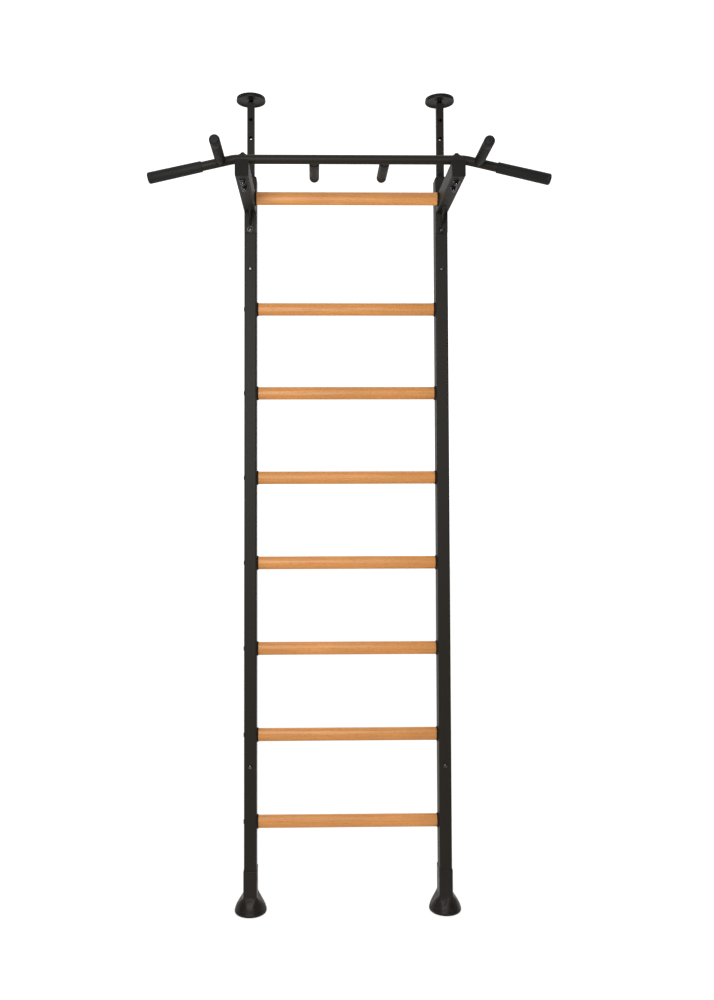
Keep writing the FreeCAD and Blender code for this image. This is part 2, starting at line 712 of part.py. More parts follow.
def make_ceiling_pad(side, sign):
    """Rubber disc on the plate, hollowed over the riveted head."""
    disc = cylinder(f"{side}_pad_disc", SIZE.plate_diameter, SIZE.pad_thick)
    hollow = cylinder(f"{side}_pad_hollow", SIZE.pad_recess, SIZE.pad_recess_depth)
    pad_shape = cut(f"{side}_ceiling_pad", disc, hollow)
    place(pad_shape, sign * UPRIGHT_X, SIZE.upright_y, SIZE.plate_top)
    return keep(pad_shape, f"{side}_ceiling_pad")


def oval(name, height, depth):
    """Draw an oval across the X axis, its long axis upright."""
    shape = doc.addObject("Part::Ellipse", name)
    bind(shape, "MajorRadius", term(height) / 2)
    bind(shape, "MinorRadius", term(depth) / 2)
    shape.Placement = FreeCAD.Placement(FreeCAD.Vector(), FreeCAD.Rotation(ALONG_Y, -90))
    return shape


def make_rung(name, y, z):
    """Turned oval rung with a blind bore in each end for its insert."""
    bar = doc.addObject("Part::Extrusion", f"{name}_blank")
    bar.Base = oval(f"{name}_section", SIZE.rung_height, SIZE.rung_depth)
    bar.DirMode = "Custom"
    bar.Dir = ALONG_X
    bar.Solid = True
    bar.Symmetric = True
    bind(bar, "LengthFwd", WOOD_HALF * 2)
    bores = doc.addObject("Part::Compound", f"{name}_bores")
    bore_size = SIZE.insert_diameter + SIZE.fit_gap * 2
    depth = SIZE.insert_length + 12
    bores.Links = [
        place(cylinder(f"{name}_bore", bore_size, depth), sign * WOOD_HALF, turn=HEAD_OUT[-sign])
        for _, sign in SIDES]
    rung = cut(name, bar, bores)
    place(rung, 0, y, z)
    return keep(rung, name)


def make_rung_fixings():
    """Collars, inserts and bolts at both ends of every rung."""
    loft = doc.addObject("Part::Loft", "collar_flare_shape")
    at_rung = oval("collar_at_rung", SIZE.rung_height + SIZE.collar_lip * 2,
                   SIZE.rung_depth + SIZE.collar_lip * 2)
    at_upright = oval("collar_at_upright", SIZE.rung_height + SIZE.collar_flare * 2,
                      SIZE.rung_depth + SIZE.collar_flare * 2)
    at_upright.Placement.Base = FreeCAD.Vector(SIZE.collar_length.value, 0, 0)
    bind(at_upright, ".Placement.Base.x", SIZE.collar_length)
    loft.Sections = [at_rung, at_upright]
    loft.Solid = True
    loft.Ruled = True
    hole = cylinder("collar_hole", SIZE.bolt_clearance, SIZE.collar_length)
    place(hole, turn=HEAD_OUT[1])
    collar = cut("collar_shape", loft, hole)
    insert = ring("insert_shape", SIZE.insert_diameter, SIZE.thread_bore, SIZE.insert_length)
    bolt = button_bolt("rung_bolt_shape", SIZE.rung_bolt_head, SIZE.rung_bolt_head_height,
                       SIZE.rung_bolt_length)
    flip = {-1: FreeCAD.Rotation(ALONG_Z, 180), 1: UPRIGHTNESS}
    outer_x = SIZE.ladder_width / 2
    ends = [(sign, y, z) for _, sign in SIDES for _, y, z in rung_spots()]
    for side, sign in SIDES:
        spots = [(sign * WOOD_HALF, y, z, flip[sign]) for _, y, z in rung_spots()]
        group(f"{side}_rung_collars", collar, spots)
    group("rung_inserts", insert, [(sign * WOOD_HALF, y, z, HEAD_OUT[-sign]) for sign, y, z in ends])
    group("rung_bolts", bolt, [(sign * outer_x, y, z, HEAD_OUT[sign]) for sign, y, z in ends])


def make_arm(side, sign):
    """Box arm with holes for the bar's bolts and the top rung's bolt."""
    body = new_body(f"{side}_arm")
    length = SIZE.arm_reach - SIZE.flange_thick - SIZE.arm_cap_thick
    tube = square_tube(body, "XZ_Plane", SIZE.upright_width, SIZE.arm_height, length)
    round_tube(body, tube, "Y")
    rung_hole = new_sketch(body, "YZ_Plane")
    circle(rung_hole, SIZE.bolt_clearance, SIZE.flange_thick - SIZE.top_rung_reach, 0)
    pocket(body, rung_hole, both=True)
    bar_holes = new_sketch(body, "XY_Plane")
    bar_at = SIZE.flange_thick - SIZE.bar_reach
    for spot in (bar_at, bar_at + SIZE.strap_bolt_offset):
        circle(bar_holes, SIZE.bolt_clearance, 0, spot)
    pocket(body, bar_holes, both=True)
    place(body, sign * UPRIGHT_X, FRONT_Y - SIZE.flange_thick, ARM_MIDDLE)
    return keep(body, f"{side}_arm")


def make_arm_cap(side, sign):
    """Moulded plug that closes the arm's front end."""
    body = new_body(f"{side}_arm_cap")
    face = new_sketch(body, "XZ_Plane")
    rounded_rectangle(face, SIZE.upright_width, SIZE.arm_height, SIZE.tube_corner)
    pad(body, face, SIZE.arm_cap_thick)
    plug = new_sketch(body, "XZ_Plane", -SIZE.arm_cap_plug)
    inset = (SIZE.tube_wall + SIZE.fit_gap) * 2
    rectangle(plug, SIZE.upright_width - inset, SIZE.arm_height - inset)
    pad(body, plug, SIZE.arm_cap_plug)
    place(body, sign * UPRIGHT_X, FRONT_Y - SIZE.arm_reach + SIZE.arm_cap_thick, ARM_MIDDLE)
    return keep(body, f"{side}_arm_cap")


def make_flange(side, sign):
    """Plate on the upright's front that carries the arm."""
    body = new_body(f"{side}_arm_flange")
    sketch = new_sketch(body, "XZ_Plane")
    height = SIZE.flange_top - SIZE.flange_bottom
    rectangle(sketch, SIZE.flange_width, height, 0, height / 2)
    for bolt in (SIZE.flange_low_bolt, SIZE.flange_high_bolt):
        circle(sketch, SIZE.bolt_clearance, 0, bolt - SIZE.flange_bottom)
    plate = pad(body, sketch, SIZE.flange_thick)
    doc.recompute()
    round_edges(body, plate, "Fillet", SIZE.tube_corner, outer_edge(plate.Shape.BoundBox, "Y"))
    place(body, sign * UPRIGHT_X, FRONT_Y, SIZE.flange_bottom)
    return keep(body, f"{side}_arm_flange")


def make_gusset(side, sign):
    """Triangular web in the corner under the arm."""
    body = new_body(f"{side}_arm_gusset")
    sketch = new_sketch(body, "YZ_Plane")
    outline(sketch, [
        (0, 0), (0, -SIZE.gusset_drop), (-SIZE.gusset_nose, -SIZE.gusset_drop),
        (-SIZE.gusset_reach, -SIZE.gusset_nose), (-SIZE.gusset_reach, 0)])
    pad(body, sketch, SIZE.gusset_thick, middle=True)
    place(body, sign * UPRIGHT_X, FRONT_Y - SIZE.flange_thick, SIZE.arm_bottom)
    return keep(body, f"{side}_arm_gusset")


def make_flange_fixings():
    """Bolts, washers and inner nuts of the flanges, and the screws in the wall-fixing holes."""
    bolt = button_bolt("flange_bolt_shape", SIZE.bolt_head, SIZE.bolt_head_height, SIZE.flange_bolt_length)
    screw = button_bolt("wall_screw_shape", SIZE.bolt_head, SIZE.bolt_head_height, SIZE.wall_screw_length)
    washer = ring("flange_washer_shape", SIZE.washer_diameter, SIZE.bolt_clearance, SIZE.washer_thick)
    nut = hex_nut("frame_nut_shape", SIZE.nut_height)
    inner_y = FRONT_Y + SIZE.tube_wall
    flange_y = FRONT_Y - SIZE.flange_thick
    head_y = flange_y - SIZE.washer_thick
    flange_spots = []
    wall_spots = []
    for _, sign in SIDES:
        x = sign * UPRIGHT_X
        flange_spots += [(x, z) for z in (SIZE.flange_low_bolt, SIZE.flange_high_bolt)]
        wall_spots += [(x, z) for z in (SIZE.wall_screw_low, SIZE.wall_screw_high)]
    group("flange_bolts", bolt, [(x, head_y, z, HEAD_FRONT) for x, z in flange_spots])
    group("flange_washers", washer, [(x, flange_y, z, HEAD_FRONT) for x, z in flange_spots])
    group("wall_hole_screws", screw, [(x, FRONT_Y, z, HEAD_FRONT) for x, z in wall_spots])
    group("frame_nuts", nut, [(x, inner_y, z, HEAD_BACK) for x, z in flange_spots + wall_spots])


def make_bar():
    """Bent tube: straight between the arms, with both ends sloping down."""
    body = new_body("pull_up_bar")
    tangent = SIZE.bar_bend_radius * HALF_SLOPE
    bend_start = SIZE.bar_bend_x - tangent
    end_drop = -((SIZE.bar_end_x - SIZE.bar_bend_x) * SLOPE)
    path = new_sketch(body, "XZ_Plane")
    angle = math.radians(SIZE.bar_bend_angle.value)
    start = FreeCAD.Vector(bend_start.value, 0, 0)
    finish = FreeCAD.Vector(
        SIZE.bar_bend_x.value + tangent.value * math.cos(angle), -tangent.value * math.sin(angle), 0)
    centre = FreeCAD.Vector(bend_start.value, -SIZE.bar_bend_radius.value, 0)
    end = FreeCAD.Vector(SIZE.bar_end_x.value, end_drop.value, 0)
    bend = Part.ArcOfCircle(Part.Circle(centre, ALONG_Z, SIZE.bar_bend_radius.value),
                            math.pi / 2 - angle, math.pi / 2)
    path.addGeometry([Part.LineSegment(FreeCAD.Vector(), start), bend, Part.LineSegment(finish, end)])
    path.addConstraint(Sketcher.Constraint("Coincident", 0, 1, -1, 1))
    pin_point(path, 0, 2, bend_start, 0)
    path.addConstraint(Sketcher.Constraint("Tangent", 0, 2, 1, 2))
    path.addConstraint(Sketcher.Constraint("Tangent", 1, 1, 2, 1))
    measure(path, "Radius", 1, SIZE.bar_bend_radius)
    pin_point(path, 2, 2, SIZE.bar_end_x, end_drop)
    section = new_sketch(body, "YZ_Plane")
    circle(section, SIZE.bar_diameter)
    circle(section, SIZE.bar_diameter - SIZE.bar_wall * 2)
    half = add_feature(body, "AdditivePipe", section)
    half.Spine = (path, [])
    holes = new_sketch(body, "XY_Plane")
    circle(holes, SIZE.bolt_clearance, UPRIGHT_X, 0)
    hole = pocket(body, holes, both=True)
    whole = body.newObject("PartDesign::Mirrored", "pull_up_bar_mirrored")
    whole.Originals = [half, hole]
    whole.MirrorPlane = (origin_plane(body, "YZ_Plane"), [""])
    body.Tip = whole
    place(body, 0, BAR_Y, BAR_Z)
    return keep(body, "pull_up_bar")


def make_straps():
    """Straps over the bar, with their bolts, washers and dome nuts."""
    body = new_body("bar_strap_shape")
    sketch = new_sketch(body, "YZ_Plane")
    inner = SIZE.bar_diameter / 2 + SIZE.fit_gap
    outer = inner + SIZE.strap_thick
    foot_low = -SIZE.bar_diameter / 2
    foot_high = foot_low + SIZE.strap_thick
    ends = []
    for shape, radius in enumerate((outer, inner)):
        edge = math.acos(-SIZE.strap_front.value / radius.value)
        ends.append(FreeCAD.Vector(radius.value * math.cos(edge), radius.value * math.sin(edge), 0))
        sketch.addGeometry(Part.ArcOfCircle(Part.Circle(FreeCAD.Vector(), ALONG_Z, radius.value), 0, edge))
        sketch.addConstraint(Sketcher.Constraint("Coincident", shape, 3, -1, 1))
        measure(sketch, "Radius", shape, radius)
        sketch.addConstraint(Sketcher.Constraint("PointOnObject", shape, 1, -1))
        rule = sketch.addConstraint(
            Sketcher.Constraint("DistanceX", -1, 1, shape, 2, -SIZE.strap_front.value))
        bind(sketch, f"Constraints[{rule}]", -SIZE.strap_front)
    front_edge = sketch.addGeometry(Part.LineSegment(*ends))
    sketch.addConstraint(Sketcher.Constraint("Coincident", 0, 2, front_edge, 1))
    sketch.addConstraint(Sketcher.Constraint("Coincident", front_edge, 2, 1, 2))
    corners = [(inner, 0), (inner, foot_low), (SIZE.strap_foot, foot_low), (SIZE.strap_foot, foot_high),
               (outer, foot_high), (outer, 0)]
    for before, after in zip(corners, corners[1:]):
        line = sketch.addGeometry(Part.LineSegment(*(
            FreeCAD.Vector(term(x).value, term(y).value, 0) for x, y in (before, after))))
        joined = (1, 1) if before is corners[0] else (line - 1, 2)
        sketch.addConstraint(Sketcher.Constraint("Coincident", *joined, line, 1))
        if after is corners[-1]:
            sketch.addConstraint(Sketcher.Constraint("Coincident", line, 2, 0, 1))
        else:
            pin_point(sketch, line, 2, *after)
    pad(body, sketch, SIZE.strap_width, middle=True)
    holes = new_sketch(body, "XY_Plane")
    circle(holes, SIZE.bolt_clearance)
    circle(holes, SIZE.bolt_clearance, 0, SIZE.strap_bolt_offset)
    pocket(body, holes, both=True)
    bar_bolt = button_bolt("bar_bolt_shape", SIZE.bolt_head, SIZE.bolt_head_height, SIZE.bar_bolt_length)
    foot_bolt = button_bolt("strap_bolt_shape", SIZE.bolt_head, SIZE.bolt_head_height,
                            SIZE.strap_bolt_length)
    washer = ring("arm_washer_shape", SIZE.washer_diameter, SIZE.bolt_clearance, SIZE.washer_thick)
    nut = dome_nut("dome_nut_shape")
    xs = [sign * UPRIGHT_X for _, sign in SIDES]
    back_y = BAR_Y + SIZE.strap_bolt_offset
    spots = [(x, y) for x in xs for y in (BAR_Y, back_y)]
    washer_z = SIZE.arm_bottom
    nut_z = SIZE.arm_bottom - SIZE.washer_thick
    group("bar_straps", body, [(x, BAR_Y, BAR_Z, UPRIGHTNESS) for x in xs])
    group("bar_bolts", bar_bolt, [(x, BAR_Y, BAR_Z + outer, HEAD_UP) for x in xs])
    group("strap_bolts", foot_bolt, [(x, back_y, ARM_TOP + SIZE.strap_thick, HEAD_UP) for x in xs])
    group("arm_washers", washer, [(x, y, washer_z, HEAD_DOWN) for x, y in spots])
    group("dome_nuts", nut, [(x, y, nut_z, HEAD_DOWN) for x, y in spots])


def make_grip(name, bore, inner_end, outer_end, length, edge_round):
    """Closed moulded grip along its own X, from 0 to its length."""
    body = new_body(name)
    sketch = new_sketch(body, "XZ_Plane")
    hole = bore / 2 + SIZE.fit_gap
    bottom = length - SIZE.grip_end_wall
    outline(sketch, [
        (0, hole), (bottom, hole), (bottom, 0), (length, 0), (length, outer_end / 2), (0, inner_end / 2)])
    solid = revolve(body, sketch, "H_Axis")

    def end_rim(edge):
        box = edge.BoundBox
        return box.XLength < 0.001 and abs(box.XMin - term(length).value) < 0.01 and box.YLength > 1
    round_edges(body, solid, "Fillet", edge_round, end_rim)
    return body


def make_outer_grip(side, sign):
    """Tapered grip on the bar's sloping end."""
    length = (SIZE.grip_end_x - SIZE.grip_start_x) * STRETCH
    grip = make_grip(f"{side}_outer_grip", SIZE.bar_diameter, SIZE.grip_inner_diameter,
                     SIZE.grip_outer_diameter, length, 5)
    angle = SIZE.bar_bend_angle.value
    turn = FreeCAD.Rotation(ALONG_Y, angle if sign > 0 else 180 - angle)
    drop = (SIZE.grip_start_x - SIZE.bar_bend_x) * SLOPE
    place(grip, sign * SIZE.grip_start_x, BAR_Y, BAR_Z - drop, turn)
    return keep(grip, f"{side}_outer_grip")


def make_stub(name, x, z, direction, start, reach, bar_turn):
    """Stub handle: a tube coped to the bar, and its closed grip."""
    turn = FreeCAD.Rotation(ALONG_Z, 90 * direction)
    along = {-1: HEAD_FRONT, 1: HEAD_BACK}[direction]
    tube = ring(f"{name}_stub_tube", SIZE.stub_tube, SIZE.stub_tube - SIZE.bar_wall * 2,
                reach - SIZE.grip_end_wall - 0.5)
    place(tube, x, BAR_Y, z, along)
    cope = doc.addObject("Part::Cylinder", f"{name}_cope")
    bind(cope, "Radius", SIZE.bar_diameter / 2 + SIZE.fit_gap / 2)
    cope.Height = 120
    cope.Placement = FreeCAD.Placement(FreeCAD.Vector(), bar_turn)
    middle = bar_turn.multVec(FreeCAD.Vector(0, 0, -60))
    bind(cope, ".Placement.Base.x", x + middle.x)
    bind(cope, ".Placement.Base.y", BAR_Y)
    bind(cope, ".Placement.Base.z", z + middle.z)
    keep(cut(f"{name}_stub", tube, cope), f"{name}_stub")
    grip = make_grip(f"{name}_grip", SIZE.stub_tube, SIZE.stub_grip, SIZE.stub_grip, reach - start, 8)
    place(grip, x, BAR_Y + direction * start, z, turn)
    keep(grip, f"{name}_grip")


def make_stubs(side, sign):
    """Forward handle on the sloping end and rear handle on the straight part."""
    angle = SIZE.bar_bend_angle.value
    front_z = BAR_Z - (SIZE.front_stub_x - SIZE.bar_bend_x) * SLOPE
    slope_turn = FreeCAD.Rotation(ALONG_Y, 90 + sign * angle)
    make_stub(f"{side}_front", sign * SIZE.front_stub_x, front_z, -1,
              SIZE.front_stub_start, SIZE.front_stub_reach, slope_turn)
    make_stub(f"{side}_rear", sign * SIZE.rear_stub_x, BAR_Z, 1,
              SIZE.rear_stub_start, SIZE.rear_stub_reach, FreeCAD.Rotation(ALONG_Y, 90))


for side_name, side_sign in SIDES:
    make_upright(side_name, side_sign)
    make_foot(side_name, side_sign)
    make_cap(side_name, side_sign)
    make_post(side_name, side_sign)
    make_post_nut(side_name, side_sign)
    make_post_pin(side_name, side_sign)
    make_spindle(side_name, side_sign)
    make_ceiling_plate(side_name, side_sign)
    make_ceiling_pad(side_name, side_sign)
    make_arm(side_name, side_sign)
    make_arm_cap(side_name, side_sign)
    make_flange(side_name, side_sign)
    make_gusset(side_name, side_sign)
    make_outer_grip(side_name, side_sign)
    make_stubs(side_name, side_sign)
for rung_name, rung_y, rung_z in rung_spots():
    make_rung(rung_name, rung_y, rung_z)
make_rung_fixings()
make_flange_fixings()
make_bar()
make_straps()

doc.recompute()
for thing in doc.Objects:
    if "Invalid" in thing.State or "Error" in thing.State:
        raise RuntimeError(f"{thing.Name} failed: {thing.State}")
for node in nodes:
    if node.Shape.isNull() or not node.Shape.isValid() or not node.Shape.Solids:
        raise RuntimeError(f"{node.Label} has no valid shape")
    node.Shape.exportStep(f"parts/{node.Label}.step")
    box = node.Shape.BoundBox
    print(f"{node.Label}: {len(node.Shape.Solids)} solids, {node.Shape.Volume / 1000:.1f} cm3, "
          f"x {box.XMin:.1f}..{box.XMax:.1f}, y {box.YMin:.1f}..{box.YMax:.1f}, "
          f"z {box.ZMin:.1f}..{box.ZMax:.1f}")
print(len(nodes), "nodes")
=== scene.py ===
"""Finishes and modelled pieces of floor-to-ceiling wall bars, built around the fixed frame."""

import math

import bmesh
import bpy
from mathutils import Matrix, Vector


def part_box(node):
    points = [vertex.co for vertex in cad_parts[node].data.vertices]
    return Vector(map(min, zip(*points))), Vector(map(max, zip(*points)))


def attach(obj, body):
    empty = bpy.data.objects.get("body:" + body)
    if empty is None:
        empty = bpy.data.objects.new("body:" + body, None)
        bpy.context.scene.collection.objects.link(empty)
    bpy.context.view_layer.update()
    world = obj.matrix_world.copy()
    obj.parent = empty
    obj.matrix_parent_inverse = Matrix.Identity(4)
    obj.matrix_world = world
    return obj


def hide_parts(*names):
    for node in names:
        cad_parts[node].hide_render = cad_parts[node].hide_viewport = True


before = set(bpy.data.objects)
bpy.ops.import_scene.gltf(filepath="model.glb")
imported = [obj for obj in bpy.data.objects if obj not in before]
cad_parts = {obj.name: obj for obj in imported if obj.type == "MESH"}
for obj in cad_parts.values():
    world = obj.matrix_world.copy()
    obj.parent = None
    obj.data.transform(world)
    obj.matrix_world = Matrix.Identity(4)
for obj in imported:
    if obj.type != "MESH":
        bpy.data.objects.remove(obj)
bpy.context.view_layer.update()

bl_info = {
    "name": "Wall bars",
    "version": (1, 0, 0),
    "blender": (4, 5, 0),
    "location": "View3D > Sidebar > Wall bars",
    "description": "Wooden rungs, handles, feet, ceiling pads and finishes of wall bars with a pull-up bar",
    "category": "Add Mesh",
}

MM = 0.001
SIDES = ("left", "right")
SIDE_SIGNS = (("left", -1), ("right", 1))
FRONT = Vector((0, -1, 0))
RUNGS = ["top_rung"] + [f"rung_{number}" for number in range(2, 9)]
STEEL_NODES = ["pull_up_bar", "bar_straps"]
for side in SIDES:
    STEEL_NODES += [f"{side}_{part}" for part in (
        "upright", "arm", "arm_flange", "arm_gusset", "front_stub", "rear_stub", "ceiling_post")]
FASTENER_NODES = [
    "arm_washers", "bar_bolts", "strap_bolts", "dome_nuts", "flange_bolts", "flange_washers",
    "rung_bolts", "wall_hole_screws", "left_post_pin", "right_post_pin", "left_pin_clip", "right_pin_clip"]
PLATED_NODES = ["frame_nuts", "rung_inserts", "left_post_nut", "right_post_nut"]


def linear(hex_colour):
    """Turn an sRGB hex colour into linear RGB."""
    channels = [int(hex_colour[start:start + 2], 16) / 255 for start in (1, 3, 5)]
    return tuple(c / 12.92 if c <= 0.04045 else ((c + 0.055) / 1.055) ** 2.4 for c in channels)


def opaque(colour):
    """Add full alpha to a linear colour."""
    return (*colour[:3], 1.0)


def shade(colour, factor):
    """Make a linear colour lighter or darker."""
    return (*(min(c * factor, 1.0) for c in colour[:3]), 1.0)


# ---------------------------------------------------------------- settings

def length_setting(name, description, millimetres):
    """A size in metres that the sidebar shows."""
    return bpy.props.FloatProperty(
        name=name, description=description, default=millimetres * MM, min=0.0, unit="LENGTH", precision=4)


def colour_setting(name, description, hex_colour):
    """A colour that the sidebar shows."""
    return bpy.props.FloatVectorProperty(
        name=name, description=description, default=linear(hex_colour), size=3, min=0.0, max=1.0,
        subtype="COLOR")


class WallBarsSizes(bpy.types.PropertyGroup):
    rung_ease: length_setting("Rung ease", "Rounding of the wooden rungs' ends", 1.4)
    grip_seam: length_setting("Grip seam", "Distance of the mould seam from a stub grip's end", 38)
    seam_depth: length_setting("Seam depth", "Depth of the mould seam round a grip", 0.35)
    thread_pitch: length_setting("Thread pitch", "Pitch of the ceiling screws' threads", 3)
    weld_leg: length_setting("Weld", "Radius of the weld beads on the arms' webs", 3.0)


class WallBarsColours(bpy.types.PropertyGroup):
    steel: colour_setting("Powder coat", "Coating of the tubes and plates", "#130e06")
    wood: colour_setting("Wood", "Oiled wood of the rungs", "#c1874a")
    grip: colour_setting("Grips", "Moulded rubber of the grips", "#121211")
    foot: colour_setting("Feet", "Moulded rubber of the feet", "#150f0b")
    nylon: colour_setting("Nylon", "Moulded collars and plugs", "#13110e")
    floor: colour_setting("Floor", "Studio floor", "#9e958a")


# ---------------------------------------------------------------- materials

def add_node(tree, kind, settings=None, values=None, links=None):
    """Add a shader node with its own settings, its input values and what feeds its inputs."""
    node = tree.nodes.new(kind)
    for key, value in (settings or {}).items():
        setattr(node, key, value)
    for key, value in (values or {}).items():
        node.inputs[key].default_value = value
    for key, socket in (links or {}).items():
        tree.links.new(socket, node.inputs[key])
    return node


def start_material(name):
    """Return a new empty material, its node tree and its object coordinates."""
    material = bpy.data.materials.new(name)
    material.use_nodes = True
    tree = material.node_tree
    tree.nodes.clear()
    place = add_node(tree, "ShaderNodeTexCoord").outputs["Object"]
    return material, tree, place


def finish_material(tree, values, links):
    """Put the surface shader on the output."""
    surface = add_node(tree, "ShaderNodeBsdfPrincipled", values=values, links=links)
    add_node(tree, "ShaderNodeOutputMaterial", links={"Surface": surface.outputs["BSDF"]})


def powder_coat(name, colour, gloss_range, relief_mm):
    """Baked polyester powder coat: near black, matt and sandy, or smooth and satin where it has pooled.

    The real grit is about 0.3 mm. It is drawn at 1.6 mm so that it still shows from a few metres.
    """
    material, tree, place = start_material(name)
    bloom = add_node(tree, "ShaderNodeTexNoise", values={"Scale": 1 / (45 * MM), "Detail": 3.0},
                     links={"Vector": place})
    grit = add_node(tree, "ShaderNodeTexNoise", values={"Scale": 1 / (1.6 * MM), "Detail": 2.0},
                    links={"Vector": place})
    tint = add_node(tree, "ShaderNodeMixRGB",
                    values={"Color1": shade(colour, 0.86), "Color2": shade(colour, 1.2)},
                    links={"Fac": bloom.outputs["Fac"]})
    low, high = gloss_range
    gloss = add_node(tree, "ShaderNodeMapRange",
                     values={"From Min": 0.3, "From Max": 0.7, "To Min": low, "To Max": high},
                     links={"Value": grit.outputs["Fac"]})
    bump = add_node(tree, "ShaderNodeBump", values={"Strength": 0.35, "Distance": relief_mm * MM},
                    links={"Height": grit.outputs["Fac"]})
    finish_material(
        tree, {"IOR": 1.5, "Specular IOR Level": 0.22},
        {"Base Color": tint.outputs["Color"], "Roughness": gloss.outputs["Result"],
         "Normal": bump.outputs["Normal"]})
    return material


def oiled_wood(colour):
    """Oiled hardwood, planed along the rung: warm, satin, with fine growth lines and short dark pores.

    Growth lines are 4.5 mm apart, fibre streaks 170 mm long and 4 mm wide, and pores 9 mm long and
    0.8 mm wide.
    """
    material, tree, place = start_material("oiled_hardwood")
    along = add_node(tree, "ShaderNodeMapping", values={"Scale": (0.045, 1.0, 1.0)},
                     links={"Vector": place})
    rings = add_node(tree, "ShaderNodeTexWave",
                     {"wave_type": "BANDS", "bands_direction": "Z", "wave_profile": "SAW"},
                     {"Scale": 2 * math.pi / (20 * 4.5 * MM), "Distortion": 9.0, "Detail": 3.0,
                      "Detail Scale": 0.35, "Detail Roughness": 0.6},
                     {"Vector": along.outputs["Vector"]})
    streak_place = add_node(tree, "ShaderNodeMapping", values={"Scale": (6.0, 240.0, 240.0)},
                            links={"Vector": place})
    streaks = add_node(tree, "ShaderNodeTexNoise", values={"Scale": 1.0, "Detail": 4.0, "Roughness": 0.6},
                       links={"Vector": streak_place.outputs["Vector"]})
    pore_place = add_node(tree, "ShaderNodeMapping", values={"Scale": (110.0, 1250.0, 1250.0)},
                          links={"Vector": place})
    pores = add_node(tree, "ShaderNodeTexNoise", values={"Scale": 1.0, "Detail": 1.0},
                     links={"Vector": pore_place.outputs["Vector"]})
    plank = add_node(tree, "ShaderNodeTexNoise", values={"Scale": 5.0, "Detail": 1.0},
                     links={"Vector": place})
    pore_mask = add_node(tree, "ShaderNodeMapRange",
                         values={"From Min": 0.6, "From Max": 0.7, "To Min": 0.0, "To Max": 0.75},
                         links={"Value": pores.outputs["Fac"]})
    broad = add_node(tree, "ShaderNodeMixRGB",
                     values={"Color1": shade(colour, 0.84), "Color2": shade(colour, 1.18)},
                     links={"Fac": plank.outputs["Fac"]})
    lines = add_node(tree, "ShaderNodeMapRange",
                     values={"From Min": 0.5, "From Max": 1.0, "To Min": 0.0, "To Max": 0.75},
                     links={"Value": rings.outputs["Fac"]})
    late_wood = add_node(tree, "ShaderNodeMixRGB", {"blend_type": "MULTIPLY"},
                         {"Color2": (0.78, 0.66, 0.52, 1.0)},
                         {"Fac": lines.outputs["Result"], "Color1": broad.outputs["Color"]})
    fibre = add_node(tree, "ShaderNodeMapRange",
                     values={"From Min": 0.35, "From Max": 0.65, "To Min": 0.0, "To Max": 0.9},
                     links={"Value": streaks.outputs["Fac"]})
    fibres = add_node(tree, "ShaderNodeMixRGB", {"blend_type": "MULTIPLY"},
                      {"Color2": (0.86, 0.76, 0.64, 1.0)},
                      {"Fac": fibre.outputs["Result"], "Color1": late_wood.outputs["Color"]})
    tint = add_node(tree, "ShaderNodeMixRGB", {"blend_type": "MULTIPLY"},
                    {"Color2": (0.5, 0.38, 0.26, 1.0)},
                    {"Fac": pore_mask.outputs["Result"], "Color1": fibres.outputs["Color"]})
    gloss = add_node(tree, "ShaderNodeMapRange",
                     values={"From Min": 0.3, "From Max": 0.7, "To Min": 0.4, "To Max": 0.54},
                     links={"Value": streaks.outputs["Fac"]})
    bump = add_node(tree, "ShaderNodeBump", values={"Strength": 0.25, "Distance": 0.15 * MM},
                    links={"Height": streaks.outputs["Fac"]})
    finish_material(
        tree, {"IOR": 1.47, "Specular IOR Level": 0.4},
        {"Base Color": tint.outputs["Color"], "Roughness": gloss.outputs["Result"],
         "Normal": bump.outputs["Normal"]})
    return material


def moulded_rubber(name, colour, grain_mm, gloss_range, relief_mm, dent_mm=0.0):
    """Moulded black rubber or nylon: matt to satin, with the mould's leathery grain and soft dents.

    The dents are some 30 mm apart, as in a thick moulding that has shrunk.
    """
    material, tree, place = start_material(name)
    wear = add_node(tree, "ShaderNodeTexNoise", values={"Scale": 1 / (30 * MM), "Detail": 4.0},
                    links={"Vector": place})
    grain = add_node(tree, "ShaderNodeTexVoronoi", {"feature": "SMOOTH_F1"},
                     {"Scale": 1 / (grain_mm * MM)}, {"Vector": place})
    tint = add_node(tree, "ShaderNodeMixRGB",
                    values={"Color1": shade(colour, 0.78), "Color2": shade(colour, 1.3)},
                    links={"Fac": wear.outputs["Fac"]})
    low, high = gloss_range
    gloss = add_node(tree, "ShaderNodeMapRange",
                     values={"From Min": 0.3, "From Max": 0.7, "To Min": low, "To Max": high},
                     links={"Value": wear.outputs["Fac"]})
    dents = add_node(tree, "ShaderNodeBump", values={"Strength": 0.6, "Distance": dent_mm * MM},
                     links={"Height": wear.outputs["Fac"]})
    bump = add_node(tree, "ShaderNodeBump", values={"Strength": 0.4, "Distance": relief_mm * MM},
                    links={"Height": grain.outputs["Distance"], "Normal": dents.outputs["Normal"]})
    finish_material(
        tree, {"IOR": 1.5, "Specular IOR Level": 0.2},
        {"Base Color": tint.outputs["Color"], "Roughness": gloss.outputs["Result"],
         "Normal": bump.outputs["Normal"]})
    return material


def moulded_nylon(scene):
    """Moulded nylon of the collars, caps and plugs, made on first use: dull black, with a fine grain."""
    name = "moulded_nylon"
    found = bpy.data.materials.get(name)
    return found or moulded_rubber(name, scene.wall_bars_colours.nylon, 0.9, (0.76, 0.9), 0.05)


